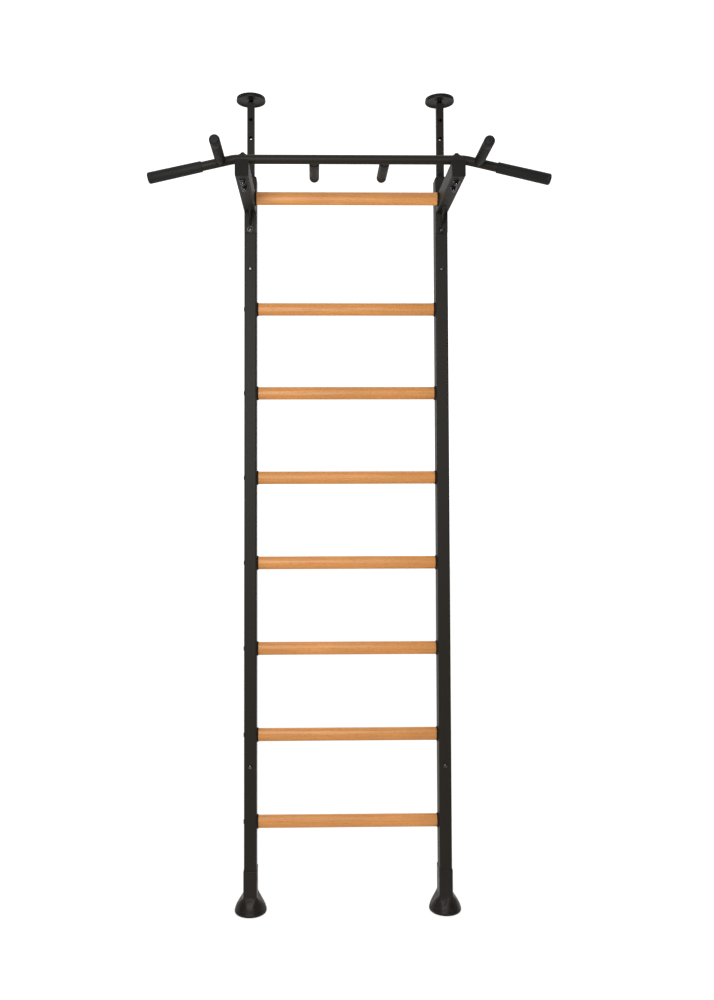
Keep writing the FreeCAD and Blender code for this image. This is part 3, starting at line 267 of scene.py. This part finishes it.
def metal_finish(name, dark_hex, light_hex, gloss_range, patch_mm):
    """Bare or treated metal whose gloss and tone drift in small patches, as plating and oxide do."""
    material, tree, place = start_material(name)
    patches = add_node(tree, "ShaderNodeTexNoise", values={"Scale": 1 / (patch_mm * MM), "Detail": 4.0},
                       links={"Vector": place})
    tint = add_node(tree, "ShaderNodeMixRGB",
                    values={"Color1": opaque(linear(dark_hex)), "Color2": opaque(linear(light_hex))},
                    links={"Fac": patches.outputs["Fac"]})
    low, high = gloss_range
    gloss = add_node(tree, "ShaderNodeMapRange",
                     values={"From Min": 0.3, "From Max": 0.7, "To Min": low, "To Max": high},
                     links={"Value": patches.outputs["Fac"]})
    finish_material(tree, {"Metallic": 1.0},
                    {"Base Color": tint.outputs["Color"], "Roughness": gloss.outputs["Result"]})
    return material


def studio_floor(colour):
    """Matt paint on a studio floor: warm and pale, and lifted to white by a painted glow of its own from the
    feet back.
    """
    material, tree, place = start_material("matt_floor_paint")
    cloud = add_node(tree, "ShaderNodeTexNoise", values={"Scale": 0.8, "Detail": 2.0},
                     links={"Vector": place})
    tint = add_node(tree, "ShaderNodeMixRGB",
                    values={"Color1": shade(colour, 0.98), "Color2": shade(colour, 1.02)},
                    links={"Fac": cloud.outputs["Fac"]})
    parts = add_node(tree, "ShaderNodeSeparateXYZ", links={"Vector": place})
    # Painted glow on the floor: weak towards the front, rising to full strength from just in front of the
    # feet backwards.
    painted_glow = add_node(tree, "ShaderNodeMapRange", {"interpolation_type": "SMOOTHSTEP"},
                    {"From Min": -2.2, "From Max": -0.28, "To Min": 0.12, "To Max": 0.76},
                    {"Value": parts.outputs["Y"]})
    finish_material(
        tree, {"Roughness": 0.9, "Specular IOR Level": 0.1, "Emission Color": (0.94, 0.97, 1.0, 1.0)},
        {"Base Color": tint.outputs["Color"], "Emission Strength": painted_glow.outputs["Result"]})
    return material


def coat_node(name, material):
    """Give a frame node its finish by its material slots."""
    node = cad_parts[name]
    for slot in node.material_slots:
        slot.material = material


# ---------------------------------------------------------------- modelling

def select_only(piece):
    """Leave one object selected and active."""
    bpy.ops.object.select_all(action="DESELECT")
    piece.select_set(True)
    bpy.context.view_layer.objects.active = piece


def select_parts(piece, kind, test):
    """In edit mode, select the faces, edges or points that pass a test."""
    bpy.ops.mesh.select_all(action="DESELECT")
    mesh = bmesh.from_edit_mesh(piece.data)
    for part in getattr(mesh, kind):
        if test(part):
            part.select_set(True)
    mesh.select_flush(True)
    bmesh.update_edit_mesh(piece.data)


def settle(piece, smooth_below=32):
    """Put the place in the mesh, merge doubles, point the faces outwards and shade the curves smooth."""
    select_only(piece)
    bpy.ops.object.transform_apply(location=True, rotation=True, scale=True)
    bpy.ops.object.mode_set(mode="EDIT")
    bpy.ops.mesh.select_all(action="SELECT")
    bpy.ops.mesh.remove_doubles(threshold=1e-6)
    bpy.ops.mesh.normals_make_consistent(inside=False)
    bpy.ops.object.mode_set(mode="OBJECT")
    bpy.ops.object.shade_smooth_by_angle(angle=math.radians(smooth_below))
    return piece


def dress(piece, material, slot, body, *nodes):
    """Give a finished piece its material, the body it rides on and the nodes it stands for. The slot argument
    is not used.
    """
    piece.data.materials.clear()
    piece.data.materials.append(material)
    if nodes:
        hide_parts(*nodes)
    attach(piece, body)
    return piece


def turned(name, stations, sides=48):
    """Model a turned solid along +Z from (height, radius) stations in millimetres."""
    height, radius = (size * MM for size in stations[0])
    bpy.ops.object.select_all(action="DESELECT")
    bpy.ops.mesh.primitive_circle_add(vertices=sides, radius=radius, fill_type="NGON")
    piece = bpy.context.object
    piece.name = name
    bpy.ops.object.mode_set(mode="EDIT")
    bpy.ops.transform.translate(value=(0, 0, height))
    for next_height, next_radius in ((h * MM, r * MM) for h, r in stations[1:]):
        bpy.ops.mesh.extrude_region_move(TRANSFORM_OT_translate={"value": (0, 0, next_height - height)})
        factor = next_radius / radius
        bpy.ops.transform.resize(value=(factor, factor, 1), center_override=(0, 0, next_height))
        height, radius = next_height, next_radius
    bpy.ops.object.mode_set(mode="OBJECT")
    return piece


def aimed(axis, place):
    """The matrix that turns +Z to an axis and moves to a place."""
    return Matrix.Translation(place) @ Vector(axis).to_track_quat("Z", "Y").to_matrix().to_4x4()


def copy_piece(piece, name, matrix):
    """Copy a piece, with a mesh of its own, and put it in place."""
    twin = piece.copy()
    twin.data = piece.data.copy()
    twin.name = name
    bpy.context.scene.collection.objects.link(twin)
    twin.matrix_world = matrix @ piece.matrix_world
    return twin


def remove(piece):
    """Delete a pattern object."""
    bpy.data.objects.remove(piece)


def join(pieces, name):
    """Join pieces into one."""
    bpy.ops.object.select_all(action="DESELECT")
    for piece in pieces:
        piece.select_set(True)
    bpy.context.view_layer.objects.active = pieces[0]
    bpy.ops.object.join()
    pieces[0].name = name
    return pieces[0]


def rounded_outline(width, depth, corner, corner_steps=12):
    """Points of a rounded rectangle in metres, in order of angle; no point lies on an axis."""
    half_x, half_y = width * MM / 2, depth * MM / 2
    round_off = corner * MM
    points = []
    for quarter in range(4):
        start = quarter * math.pi / 2
        sign_x = 1 if quarter in (0, 3) else -1
        sign_y = 1 if quarter in (0, 1) else -1
        centre = (sign_x * (half_x - round_off), sign_y * (half_y - round_off))
        arc = [start + step / corner_steps * math.pi / 2 for step in range(corner_steps + 1)]
        points += [(centre[0] + round_off * math.cos(a), centre[1] + round_off * math.sin(a)) for a in arc]
        last = points[-1]
        following = (quarter + 1) % 4
        next_x = (1 if following in (0, 3) else -1) * (half_x - round_off)
        next_y = (1 if following in (0, 1) else -1) * (half_y - round_off)
        angle = following * math.pi / 2
        goal = (next_x + round_off * math.cos(angle), next_y + round_off * math.sin(angle))
        points += [tuple(last[k] + (goal[k] - last[k]) * share for k in (0, 1)) for share in (1 / 3, 2 / 3)]
    return sorted(points, key=lambda point: math.atan2(point[1], point[0]))


def rounded_sections(levels):
    """Sections for `moulded` from (height, width, depth, corner radius) levels in millimetres."""
    return [(height, rounded_outline(width, depth, corner)) for height, width, depth, corner in levels]


def moulded(name, sections):
    """Model a solid along +Z from (height, outline) sections: each ring is extruded, then shaped."""
    height, outline = sections[0]
    bpy.ops.object.select_all(action="DESELECT")
    bpy.ops.mesh.primitive_circle_add(vertices=len(outline), radius=0.05, fill_type="NGON")
    piece = bpy.context.object
    piece.name = name
    bpy.ops.object.mode_set(mode="EDIT")
    bpy.ops.transform.rotate(value=0.01, orient_axis="Z", center_override=(0, 0, 0))
    for step, (height, outline) in enumerate(sections):
        if step:
            bpy.ops.mesh.extrude_region_move(TRANSFORM_OT_translate={"value": (0, 0, 0)})
        mesh = bmesh.from_edit_mesh(piece.data)
        ring = [point for point in mesh.verts if point.select]
        ring.sort(key=lambda point: math.atan2(point.co.y, point.co.x))
        for point, (x, y) in zip(ring, outline):
            point.co = (x, y, height * MM)
        bmesh.update_edit_mesh(piece.data)
    bpy.ops.object.mode_set(mode="OBJECT")
    return piece


def node_centre(name):
    """Middle of a node's box."""
    low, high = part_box(name)
    return (low + high) / 2


# ---------------------------------------------------------------- sizes read from the frame

BAR_LOW, BAR_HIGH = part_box("pull_up_bar")
BAR_RADIUS = (BAR_HIGH.y - BAR_LOW.y) / 2
BAR_Y = (BAR_HIGH.y + BAR_LOW.y) / 2
BAR_Z = BAR_HIGH.z - BAR_RADIUS
BAR_BEND_X = 340 * MM
BAR_SLOPE = math.radians(12.9)
FRONT_STUB_X = 380 * MM
REAR_STUB_X = 105 * MM
STUB_RADIUS = 12.5 * MM


def bar_height(x):
    """Height of the bar's centre line at a distance from the middle."""
    return BAR_Z - max(abs(x) - BAR_BEND_X, 0) * math.tan(BAR_SLOPE)


def oval_outline(height, depth, count=72):
    """Points of an oval, its long axis along local Y, in order of angle; no point lies on an axis."""
    angles = [-math.pi + (step + 0.5) / count * math.tau for step in range(count)]
    points = [(depth / 2 * MM * math.cos(a), height / 2 * MM * math.sin(a)) for a in angles]
    return sorted(points, key=lambda point: math.atan2(point[1], point[0]))


# ---------------------------------------------------------------- stage

def add_light(name, place, target, size, power, colour):
    """Add a soft square light that faces a target."""
    data = bpy.data.lights.new(name, "AREA")
    data.shape = "SQUARE"
    data.size = size
    data.energy = power
    data.color = colour
    light = bpy.data.objects.new(name, data)
    bpy.context.scene.collection.objects.link(light)
    light.location = place
    light.rotation_euler = (Vector(target) - Vector(place)).to_track_quat("-Z", "Y").to_euler()


def add_camera():
    """Add the front camera at a standing person's distance, turned slightly up and to the right."""
    data = bpy.data.cameras.new("front_camera")
    data.sensor_width = 36
    data.lens = 31.912
    data.shift_x = 0.02798
    data.shift_y = -0.04761
    data.clip_end = 60
    turn, lift, roll = 0.01637, 0.03411, -0.00257
    forward = Vector((math.sin(turn) * math.cos(lift), math.cos(turn) * math.cos(lift), math.sin(lift)))
    level = Vector((math.cos(turn), -math.sin(turn), 0))
    upright = level.cross(forward)
    right = level * math.cos(roll) + upright * math.sin(roll)
    top = upright * math.cos(roll) - level * math.sin(roll)
    camera = bpy.data.objects.new("front_camera", data)
    bpy.context.scene.collection.objects.link(camera)
    axes = Matrix((right, top, -forward)).transposed().to_4x4()
    camera.matrix_world = Matrix.Translation((-0.106, -2.693, 1.3885)) @ axes
    bpy.context.scene.camera = camera


def add_sky():
    """Light the room from all round: a bright backdrop behind the object, dimmer on the user's side."""
    world = bpy.data.worlds.new("studio")
    world.use_nodes = True
    tree = world.node_tree
    tree.nodes.clear()
    direction = add_node(tree, "ShaderNodeTexCoord").outputs["Generated"]
    parts = add_node(tree, "ShaderNodeSeparateXYZ", links={"Vector": direction})
    backdrop = add_node(tree, "ShaderNodeMapRange", {"interpolation_type": "SMOOTHSTEP"},
                        {"From Min": 0.1, "From Max": 0.8, "To Min": 0.13, "To Max": 1.3},
                        {"Value": parts.outputs["Y"]})
    overhead = add_node(tree, "ShaderNodeMapRange", {"interpolation_type": "SMOOTHSTEP"},
                        {"From Min": 0.55, "From Max": 0.95, "To Min": 0.0, "To Max": 1.2},
                        {"Value": parts.outputs["Z"]})
    level = add_node(tree, "ShaderNodeMath", {"operation": "ADD"},
                     links={0: backdrop.outputs["Result"], 1: overhead.outputs["Result"]})
    glow = add_node(tree, "ShaderNodeBackground", values={"Color": (1.0, 1.0, 1.0, 1.0)},
                    links={"Strength": level.outputs["Value"]})
    add_node(tree, "ShaderNodeOutputWorld", links={"Surface": glow.outputs["Background"]})
    bpy.context.scene.world = world


class AddStage(bpy.types.Operator):
    """Add the floor, the key light, the sky and the camera"""
    bl_idname = "wall_bars.add_stage"
    bl_label = "Stage"

    def execute(self, context):
        colours = context.scene.wall_bars_colours
        bpy.ops.object.select_all(action="DESELECT")
        bpy.ops.mesh.primitive_plane_add(size=24)
        floor = context.object
        floor.name = "studio_floor"
        bpy.ops.object.mode_set(mode="EDIT")
        bpy.ops.mesh.subdivide(number_cuts=3)
        bpy.ops.object.mode_set(mode="OBJECT")
        floor.data.materials.append(studio_floor(colours.floor))
        add_light("key", place=(-0.62, -3.0, 2.1), target=(-0.15, 0.2, 1.75), size=1.4, power=118,
                  colour=(0.98, 0.99, 1.0))
        add_sky()
        add_camera()
        context.scene.view_settings.view_transform = "Standard"
        return {"FINISHED"}


# ---------------------------------------------------------------- operators

class CoatSteel(bpy.types.Operator):
    """Powder-coat the tubes and plates, and finish the fasteners"""
    bl_idname = "wall_bars.coat_steel"
    bl_label = "Steel and fasteners"

    def execute(self, context):
        steel = context.scene.wall_bars_colours.steel
        coat = powder_coat("fine_texture_powder_coat", steel, (0.54, 0.64), 0.12)
        powder_coat("satin_powder_coat", steel, (0.44, 0.54), 0.03)
        for name in STEEL_NODES:
            coat_node(name, coat)
        oxide = metal_finish("black_oxide_steel", "#2c2c2e", "#626366", (0.13, 0.22), 6)
        for name in FASTENER_NODES:
            coat_node(name, oxide)
        zinc = metal_finish("zinc_plated_steel", "#9da1a6", "#c3c6c9", (0.24, 0.42), 9)
        for name in PLATED_NODES:
            coat_node(name, zinc)
        nylon = moulded_nylon(context.scene)
        for side in SIDES:
            coat_node(f"{side}_upright_cap", nylon)
        return {"FINISHED"}


class AddRungs(bpy.types.Operator):
    """Add the oval wooden rungs with eased ends"""
    bl_idname = "wall_bars.add_rungs"
    bl_label = "Rungs"

    def execute(self, context):
        wood = oiled_wood(context.scene.wall_bars_colours.wood)
        ease = context.scene.wall_bars_sizes.rung_ease / MM
        low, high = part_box("rung_5")
        half, height, depth = (high.x - low.x) / 2 / MM, (high.z - low.z) / MM, (high.y - low.y) / MM
        steps = (0.0, 0.3, 0.6, 0.85, 1.0)
        start = []
        for step in steps:
            inward = ease * (1 - math.sqrt(1 - (1 - step) ** 2)) * 2
            start.append((-half + ease * step, oval_outline(height - inward, depth - inward)))
        finish = [(-position, outline) for position, outline in reversed(start)]
        pattern = moulded("rung_pattern", start + finish)
        for name in RUNGS:
            rung = copy_piece(pattern, f"{name}_wood", aimed((1, 0, 0), node_centre(name)))
            dress(settle(rung), wood, "rung_wood", "ladder", name)
        remove(pattern)
        return {"FINISHED"}


class AddCollars(bpy.types.Operator):
    """Add the flared collars at both ends of the rungs"""
    bl_idname = "wall_bars.add_collars"
    bl_label = "Rung collars"

    def execute(self, context):
        nylon = moulded_nylon(context.scene)
        low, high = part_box("rung_5")
        height, depth = (high.z - low.z) / MM, (high.y - low.y) / MM
        profile = ((0.0, 0.4), (0.0, 2.6), (0.25, 3.6), (0.7, 4.2), (1.3, 4.3), (1.9, 4.0), (2.4, 4.0),
                   (3.6, 5.2), (4.4, 6.4), (4.8, 7.0), (5.0, 7.0))
        pattern = moulded("collar_pattern", [
            (position, oval_outline(height + wider, depth + wider)) for position, wider in profile])
        for side, sign in SIDE_SIGNS:
            collars = []
            for name in RUNGS:
                centre = node_centre(name)
                centre.x = sign * high.x
                collars.append(copy_piece(pattern, f"{side}_{name}_collar", aimed((sign, 0, 0), centre)))
            collars = [settle(collar) for collar in collars]
            dress(join(collars, f"{side}_collar_set"), nylon, "moulded_black", "ladder",
                  f"{side}_rung_collars")
        remove(pattern)
        return {"FINISHED"}


def grip_profile(length, bore, inner, outer, end_round, seam_from_end, seam_depth):
    """Stations of a closed grip: bore, lipped mouth, barrel with a mould seam, and a rounded end."""
    def barrel(height):
        return inner + (outer - inner) * height / length
    seam = length - seam_from_end
    stations = [(length - 5, bore), (0, bore), (0, inner - 1.2), (0.3, inner - 0.4), (1.0, inner + 0.1),
                (2.4, inner + 0.25), (4.0, inner + 0.15), (6.0, barrel(6.0))]
    stations += [(seam - 0.9, barrel(seam)), (seam - 0.3, barrel(seam) - seam_depth),
                 (seam + 0.3, barrel(seam) - seam_depth), (seam + 0.9, barrel(seam))]
    for step in range(9):
        angle = step / 8 * math.pi / 2
        stations.append((length - end_round * (1 - math.sin(angle)),
                         outer - end_round * (1 - math.cos(angle))))
    return stations + [(length, 2.9), (length - 0.35, 2.5), (length - 1.1, 2.1), (length - 1.4, 1.2)]


class AddGrips(bpy.types.Operator):
    """Add the moulded grips of the bar's ends and of the four short handles"""
    bl_idname = "wall_bars.add_grips"
    bl_label = "Grips"

    def execute(self, context):
        sizes = context.scene.wall_bars_sizes
        rubber = moulded_rubber("moulded_grip_rubber", context.scene.wall_bars_colours.grip, 1.5,
                                (0.58, 0.74), 0.22, 0.2)
        seam, depth = sizes.grip_seam / MM, sizes.seam_depth / MM
        start_x, end_x = 436 * MM, 594.5 * MM
        long_grip = (end_x - start_x) / math.cos(BAR_SLOPE) / MM
        stub_bore, stub_barrel, stub_round = STUB_RADIUS / MM + 0.1, 15.25, 8.5
        for side, sign in SIDE_SIGNS:
            slope = Vector((sign * math.cos(BAR_SLOPE), 0, -math.sin(BAR_SLOPE)))
            parts = [("outer_grip", (sign * start_x, BAR_Y, bar_height(start_x)), slope,
                      grip_profile(long_grip, BAR_RADIUS / MM + 0.1, 16.0, 17.0, 6.5, 12.0, depth))]
            front_place = (sign * FRONT_STUB_X, BAR_Y - 30 * MM, bar_height(FRONT_STUB_X))
            parts.append(("front_grip", front_place, FRONT,
                          grip_profile(150, stub_bore, stub_barrel, stub_barrel, stub_round, seam, depth)))
            rear_place = (sign * REAR_STUB_X, BAR_Y + 22 * MM, BAR_Z)
            parts.append(("rear_grip", rear_place, -FRONT,
                          grip_profile(144, stub_bore, stub_barrel, stub_barrel, stub_round, seam, depth)))
            for part, place, axis, profile in parts:
                grip = turned(f"{side}_{part}_rubber", profile, 64)
                grip.matrix_world = aimed(axis, place)
                dress(settle(grip), rubber, "grip_foam", "ladder", f"{side}_{part}")
        return {"FINISHED"}


class AddFeet(bpy.types.Operator):
    """Add the moulded feet: a square sleeve that spreads into a round bell"""
    bl_idname = "wall_bars.add_feet"
    bl_label = "Feet"

    def execute(self, context):
        rubber = moulded_rubber("moulded_foot_rubber", context.scene.wall_bars_colours.foot, 3.2,
                                (0.34, 0.56), 0.35, 7)
        # Each level is its height, width, depth and corner radius.
        levels = (
            (0, 96, 96, 47.9), (0.5, 99.4, 99.4, 49.6), (1.8, 102.6, 102.6, 51.2), (4, 104, 104, 51.9),
            (8.4, 104, 104, 51.9), (9.6, 103, 103, 51.4), (10.6, 101.6, 101.6, 50.7),
            (17, 98.4, 98.6, 48.2), (25, 90.5, 91.5, 42.5), (33, 79.5, 84, 34), (41, 67, 76.5, 24),
            (49, 54, 69.5, 13), (54, 47.4, 66, 7.5), (57, 44.8, 64.6, 5), (59, 44.1, 64.1, 4.4),
            (61, 44, 64, 4.2), (136.9, 44, 64, 4.2), (137.6, 43.6, 63.6, 4.0), (138, 43, 63, 3.8),
            (138, 40.5, 60.5, 3.9), (131, 40.3, 60.3, 3.9))
        pattern = moulded("foot_pattern", rounded_sections(levels))
        for side in SIDES:
            centre = node_centre(f"{side}_foot")
            centre.z = 0
            foot = copy_piece(pattern, f"{side}_foot_moulding", Matrix.Translation(centre))
            dress(settle(foot, 28), rubber, "foot_rubber", "ladder", f"{side}_foot")
        remove(pattern)
        return {"FINISHED"}


class AddArmPlugs(bpy.types.Operator):
    """Add the moulded plugs that close the arms"""
    bl_idname = "wall_bars.add_arm_plugs"
    bl_label = "Arm plugs"

    def execute(self, context):
        nylon = moulded_nylon(context.scene)
        levels = ((-16, 35.8, 45.8, 1.0), (0, 35.8, 45.8, 1.0), (0, 39.6, 49.6, 3.8), (0.4, 40, 50, 4.0),
                  (1.2, 40, 50, 4.0), (1.6, 39.6, 49.6, 3.8), (1.9, 38.8, 48.8, 3.4), (2.0, 37.6, 47.6, 2.9))
        pattern = moulded("arm_plug_pattern", rounded_sections(levels))
        for side in SIDES:
            low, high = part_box(f"{side}_arm_cap")
            place = ((low.x + high.x) / 2, low.y + 2 * MM, (low.z + high.z) / 2)
            plug = copy_piece(pattern, f"{side}_arm_plug", aimed(FRONT, place))
            dress(settle(plug), nylon, "moulded_black", "ladder", f"{side}_arm_cap")
        remove(pattern)
        return {"FINISHED"}


class AddCeilingHeads(bpy.types.Operator):
    """Add the pressed ceiling plates and their rubber pads"""
    bl_idname = "wall_bars.add_ceiling_heads"
    bl_label = "Ceiling plates and pads"

    def execute(self, context):
        coat = bpy.data.materials["satin_powder_coat"]
        rubber = moulded_rubber("moulded_pad_rubber", linear("#0b0b0a"), 2.0, (0.7, 0.86), 0.15)
        plate_profile = (
            (6, 6.2), (5.2, 6.6), (5.2, 13), (6, 14.5), (6, 37), (5.8, 39.5), (5, 41.4), (3.6, 42.8),
            (2, 43.8), (0.9, 44.7), (0.25, 45.8), (0, 46.9), (0.3, 47.8), (1.1, 48.4), (2.2, 48.5),
            (6.2, 48.5), (7.3, 48.2), (7.9, 47.6), (8, 46.9), (8, 6.2))
        pad_profile = [(2.5, 9.9), (0, 10), (0, 46.2), (0.5, 47.2), (1.4, 47.6), (3.6, 47.6), (4.5, 47.2),
                       (5, 46.2)]
        groove_radii = (42, 34, 26, 18)
        for radius in groove_radii:
            pad_profile += [(5, radius + 0.9), (4.3, radius + 0.5), (4.3, radius - 0.5), (5, radius - 0.9)]
        pad_profile.append((5, 9))
        for side in SIDES:
            plate_low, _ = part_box(f"{side}_ceiling_plate")
            centre = node_centre(f"{side}_ceiling_plate")
            centre.z = plate_low.z
            plate = turned(f"{side}_ceiling_disc", plate_profile, 96)
            plate.matrix_world = Matrix.Translation(centre)
            dress(settle(plate), coat, "black_powder_coat", f"{side}_head", f"{side}_ceiling_plate")
            pad_low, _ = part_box(f"{side}_ceiling_pad")
            centre.z = pad_low.z
            pad = turned(f"{side}_ceiling_rubber", pad_profile, 96)
            pad.matrix_world = Matrix.Translation(centre)
            dress(settle(pad), rubber, "pad_rubber", f"{side}_head", f"{side}_ceiling_pad")
        return {"FINISHED"}


def threaded_rod(name, length, diameter, pitch):
    """A rod along +Z with a rolled thread: one tooth is swept round and up by a screw modifier."""
    bpy.ops.object.select_all(action="DESELECT")
    bpy.ops.mesh.primitive_plane_add(size=1)
    rod = bpy.context.object
    rod.name = name
    bpy.ops.object.mode_set(mode="EDIT")
    bpy.ops.mesh.delete(type="ONLY_FACE")
    mesh = bmesh.from_edit_mesh(rod.data)
    mesh.edges.ensure_lookup_table()
    bmesh.ops.delete(mesh, geom=[mesh.edges[0]], context="EDGES")
    chain = [point for point in mesh.verts if len(point.link_edges) == 1][:1]
    while len(chain) < 4:
        ahead = [edge.other_vert(chain[-1]) for edge in chain[-1].link_edges]
        chain.append(next(point for point in ahead if point not in chain))
    root, crest = diameter / 2 - pitch * 0.55, diameter / 2
    tooth = ((root, 0.0), (crest, 0.38), (crest, 0.56), (root, 1.0))
    for point, (radius, share) in zip(chain, tooth):
        point.co = (radius, 0, share * pitch)
    bmesh.update_edit_mesh(rod.data)
    bpy.ops.object.mode_set(mode="OBJECT")
    screw = rod.modifiers.new("thread", "SCREW")
    screw.angle = math.tau
    screw.screw_offset = pitch
    screw.iterations = round(length / pitch) - 1
    screw.steps = screw.render_steps = 32
    screw.use_merge_vertices = True
    screw.merge_threshold = 1e-6
    bpy.ops.object.modifier_apply(modifier=screw.name)
    return rod


class AddSpindles(bpy.types.Operator):
    """Add the threaded ceiling screws with their turning hexagons"""
    bl_idname = "wall_bars.add_spindles"
    bl_label = "Ceiling screws"

    def execute(self, context):
        oxide = bpy.data.materials["black_oxide_steel"]
        pitch = context.scene.wall_bars_sizes.thread_pitch
        hex_low, hex_high = 2656.5 * MM, 2664.5 * MM
        thread_diameter, hex_flats = 16 * MM, 17 * MM
        core_profile = ((0, 5.6), (0.8, 6.4), (64, 6.4), (66.4, 6.4), (66.4, 6), (80, 6), (80, 9), (80.5, 9),
                        (81.3, 8.2), (81.7, 6))
        for side in SIDES:
            low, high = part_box(f"{side}_spindle")
            centre = (low + high) / 2
            rod = threaded_rod(f"{side}_screw", hex_low - low.z, thread_diameter, pitch)
            rod.matrix_world = Matrix.Translation((centre.x, centre.y, low.z))
            bpy.ops.object.select_all(action="DESELECT")
            bpy.ops.mesh.primitive_cylinder_add(
                vertices=6, radius=hex_flats / 2 / math.cos(math.pi / 6), depth=hex_high - hex_low,
                location=(centre.x, centre.y, (hex_low + hex_high) / 2))
            nut = context.object
            bpy.ops.object.transform_apply(location=True, rotation=False, scale=False)
            bpy.ops.object.mode_set(mode="EDIT")
            select_parts(nut, "faces", lambda face: abs(face.normal.z) > 0.9)
            bpy.ops.mesh.bevel(offset=0.9 * MM, segments=2, affect="EDGES")
            bpy.ops.object.mode_set(mode="OBJECT")
            core = turned(f"{side}_core", core_profile)
            core.matrix_world = Matrix.Translation((centre.x, centre.y, low.z))
            pieces = [settle(rod), settle(nut, 20), settle(core)]
            dress(join(pieces, f"{side}_ceiling_screw"), oxide, "black_fasteners", f"{side}_screw",
                  f"{side}_spindle")
        return {"FINISHED"}


def weld_bead(name, start, end, radius):
    """A lumpy weld bead between two points; its ripples are drawn coarse, so that they show."""
    run = Vector(end) - Vector(start)
    length = run.length / MM
    crest = radius / MM
    dip, tip = crest * 0.5, crest * 0.35
    ripple = 5.0
    count = max(round(length / ripple), 3)
    stations = [(0, tip)]
    for step in range(1, count):
        stations.append((length * step / count, crest if step % 2 else dip))
    stations.append((length, tip))
    bead = turned(name, stations, 12)
    if run.normalized().z > 0.99:
        bead.matrix_world = Matrix.Translation(start)
    else:
        bead.matrix_world = aimed(run, start)
    return settle(bead, 60)


def saddle_weld(name, place, direction, turn):
    """A weld bead that follows a short handle's tube where it meets the bar."""
    bead = 1.7 * MM
    bpy.ops.object.select_all(action="DESELECT")
    bpy.ops.mesh.primitive_torus_add(
        major_segments=96, minor_segments=8, major_radius=STUB_RADIUS, minor_radius=bead,
        rotation=(math.pi / 2, 0, 0))
    weld = bpy.context.object
    weld.name = name
    bpy.ops.object.transform_apply(location=False, rotation=True, scale=False)
    for point in weld.data.vertices:
        angle = math.atan2(point.co.z, point.co.x)
        middle = STUB_RADIUS * Vector((math.cos(angle), 0, math.sin(angle)))
        swell = 1 + 0.12 * math.cos(24 * angle)
        offset = (point.co - middle) * swell
        depth = math.sqrt(max(BAR_RADIUS ** 2 - middle.z ** 2, 0))
        point.co = middle + offset + Vector((0, direction * depth, 0))
    weld.matrix_world = Matrix.Translation(place) @ Matrix.Rotation(turn, 4, "Y")
    return settle(weld, 60)


class AddWelds(bpy.types.Operator):
    """Add the weld beads on the arms and the short handles"""
    bl_idname = "wall_bars.add_welds"
    bl_label = "Welds"

    def execute(self, context):
        coat = bpy.data.materials["satin_powder_coat"]
        leg = context.scene.wall_bars_sizes.weld_leg
        for side, sign in SIDE_SIGNS:
            web_low, web_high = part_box(f"{side}_arm_gusset")
            flange_low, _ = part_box(f"{side}_arm_flange")
            arm_low, arm_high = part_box(f"{side}_arm")
            beads = []
            for edge, x in enumerate((web_low.x, web_high.x)):
                under_arm = ((x, web_low.y + 3 * MM, web_high.z), (x, web_high.y, web_high.z))
                down_flange = ((x, web_high.y, web_low.z + 2 * MM), (x, web_high.y, web_high.z))
                beads.append(weld_bead(f"{side}_web_weld_{edge}", *under_arm, leg))
                beads.append(weld_bead(f"{side}_drop_weld_{edge}", *down_flange, leg))
            for edge, z in enumerate((arm_low.z, arm_high.z)):
                across = ((flange_low.x + 3 * MM, flange_low.y, z),
                          (flange_low.x + 34 * MM, flange_low.y, z))
                beads.append(weld_bead(f"{side}_arm_weld_{edge}", *across, leg))
            dress(join(beads, f"{side}_arm_welds"), coat, "black_powder_coat", "ladder")
            stub_x = sign * FRONT_STUB_X
            front = saddle_weld(f"{side}_front_weld", (stub_x, BAR_Y, bar_height(stub_x)), -1,
                                sign * BAR_SLOPE)
            rear = saddle_weld(f"{side}_rear_weld", (sign * REAR_STUB_X, BAR_Y, BAR_Z), 1, 0)
            dress(join([front, rear], f"{side}_handle_welds"), coat, "black_powder_coat", "ladder")
        return {"FINISHED"}


OPERATORS = (AddStage, CoatSteel, AddRungs, AddCollars, AddGrips, AddFeet, AddArmPlugs, AddCeilingHeads,
             AddSpindles, AddWelds)


class WallBarsPanel(bpy.types.Panel):
    """Sidebar panel with the settings and the steps"""
    bl_idname = "VIEW3D_PT_wall_bars"
    bl_label = "Wall bars"
    bl_space_type = "VIEW_3D"
    bl_region_type = "UI"
    bl_category = "Wall bars"

    def draw(self, context):
        for settings in (context.scene.wall_bars_sizes, context.scene.wall_bars_colours):
            for name in settings.__annotations__:
                self.layout.prop(settings, name)
        for operator in OPERATORS:
            self.layout.operator(operator.bl_idname)


CLASSES = (WallBarsSizes, WallBarsColours, *OPERATORS, WallBarsPanel)


def register():
    """Register the classes and put the settings on the scene."""
    for item in CLASSES:
        bpy.utils.register_class(item)
    bpy.types.Scene.wall_bars_sizes = bpy.props.PointerProperty(type=WallBarsSizes)
    bpy.types.Scene.wall_bars_colours = bpy.props.PointerProperty(type=WallBarsColours)


def unregister():
    """Take the settings off the scene and unregister the classes."""
    del bpy.types.Scene.wall_bars_colours
    del bpy.types.Scene.wall_bars_sizes
    for item in reversed(CLASSES):
        bpy.utils.unregister_class(item)


def main():
    """Build everything in order."""
    register()
    bpy.ops.wall_bars.add_stage()
    bpy.ops.wall_bars.coat_steel()
    bpy.ops.wall_bars.add_rungs()
    bpy.ops.wall_bars.add_collars()
    bpy.ops.wall_bars.add_grips()
    bpy.ops.wall_bars.add_feet()
    bpy.ops.wall_bars.add_arm_plugs()
    bpy.ops.wall_bars.add_ceiling_heads()
    bpy.ops.wall_bars.add_spindles()
    bpy.ops.wall_bars.add_welds()


if __name__ == "__main__":
    main()
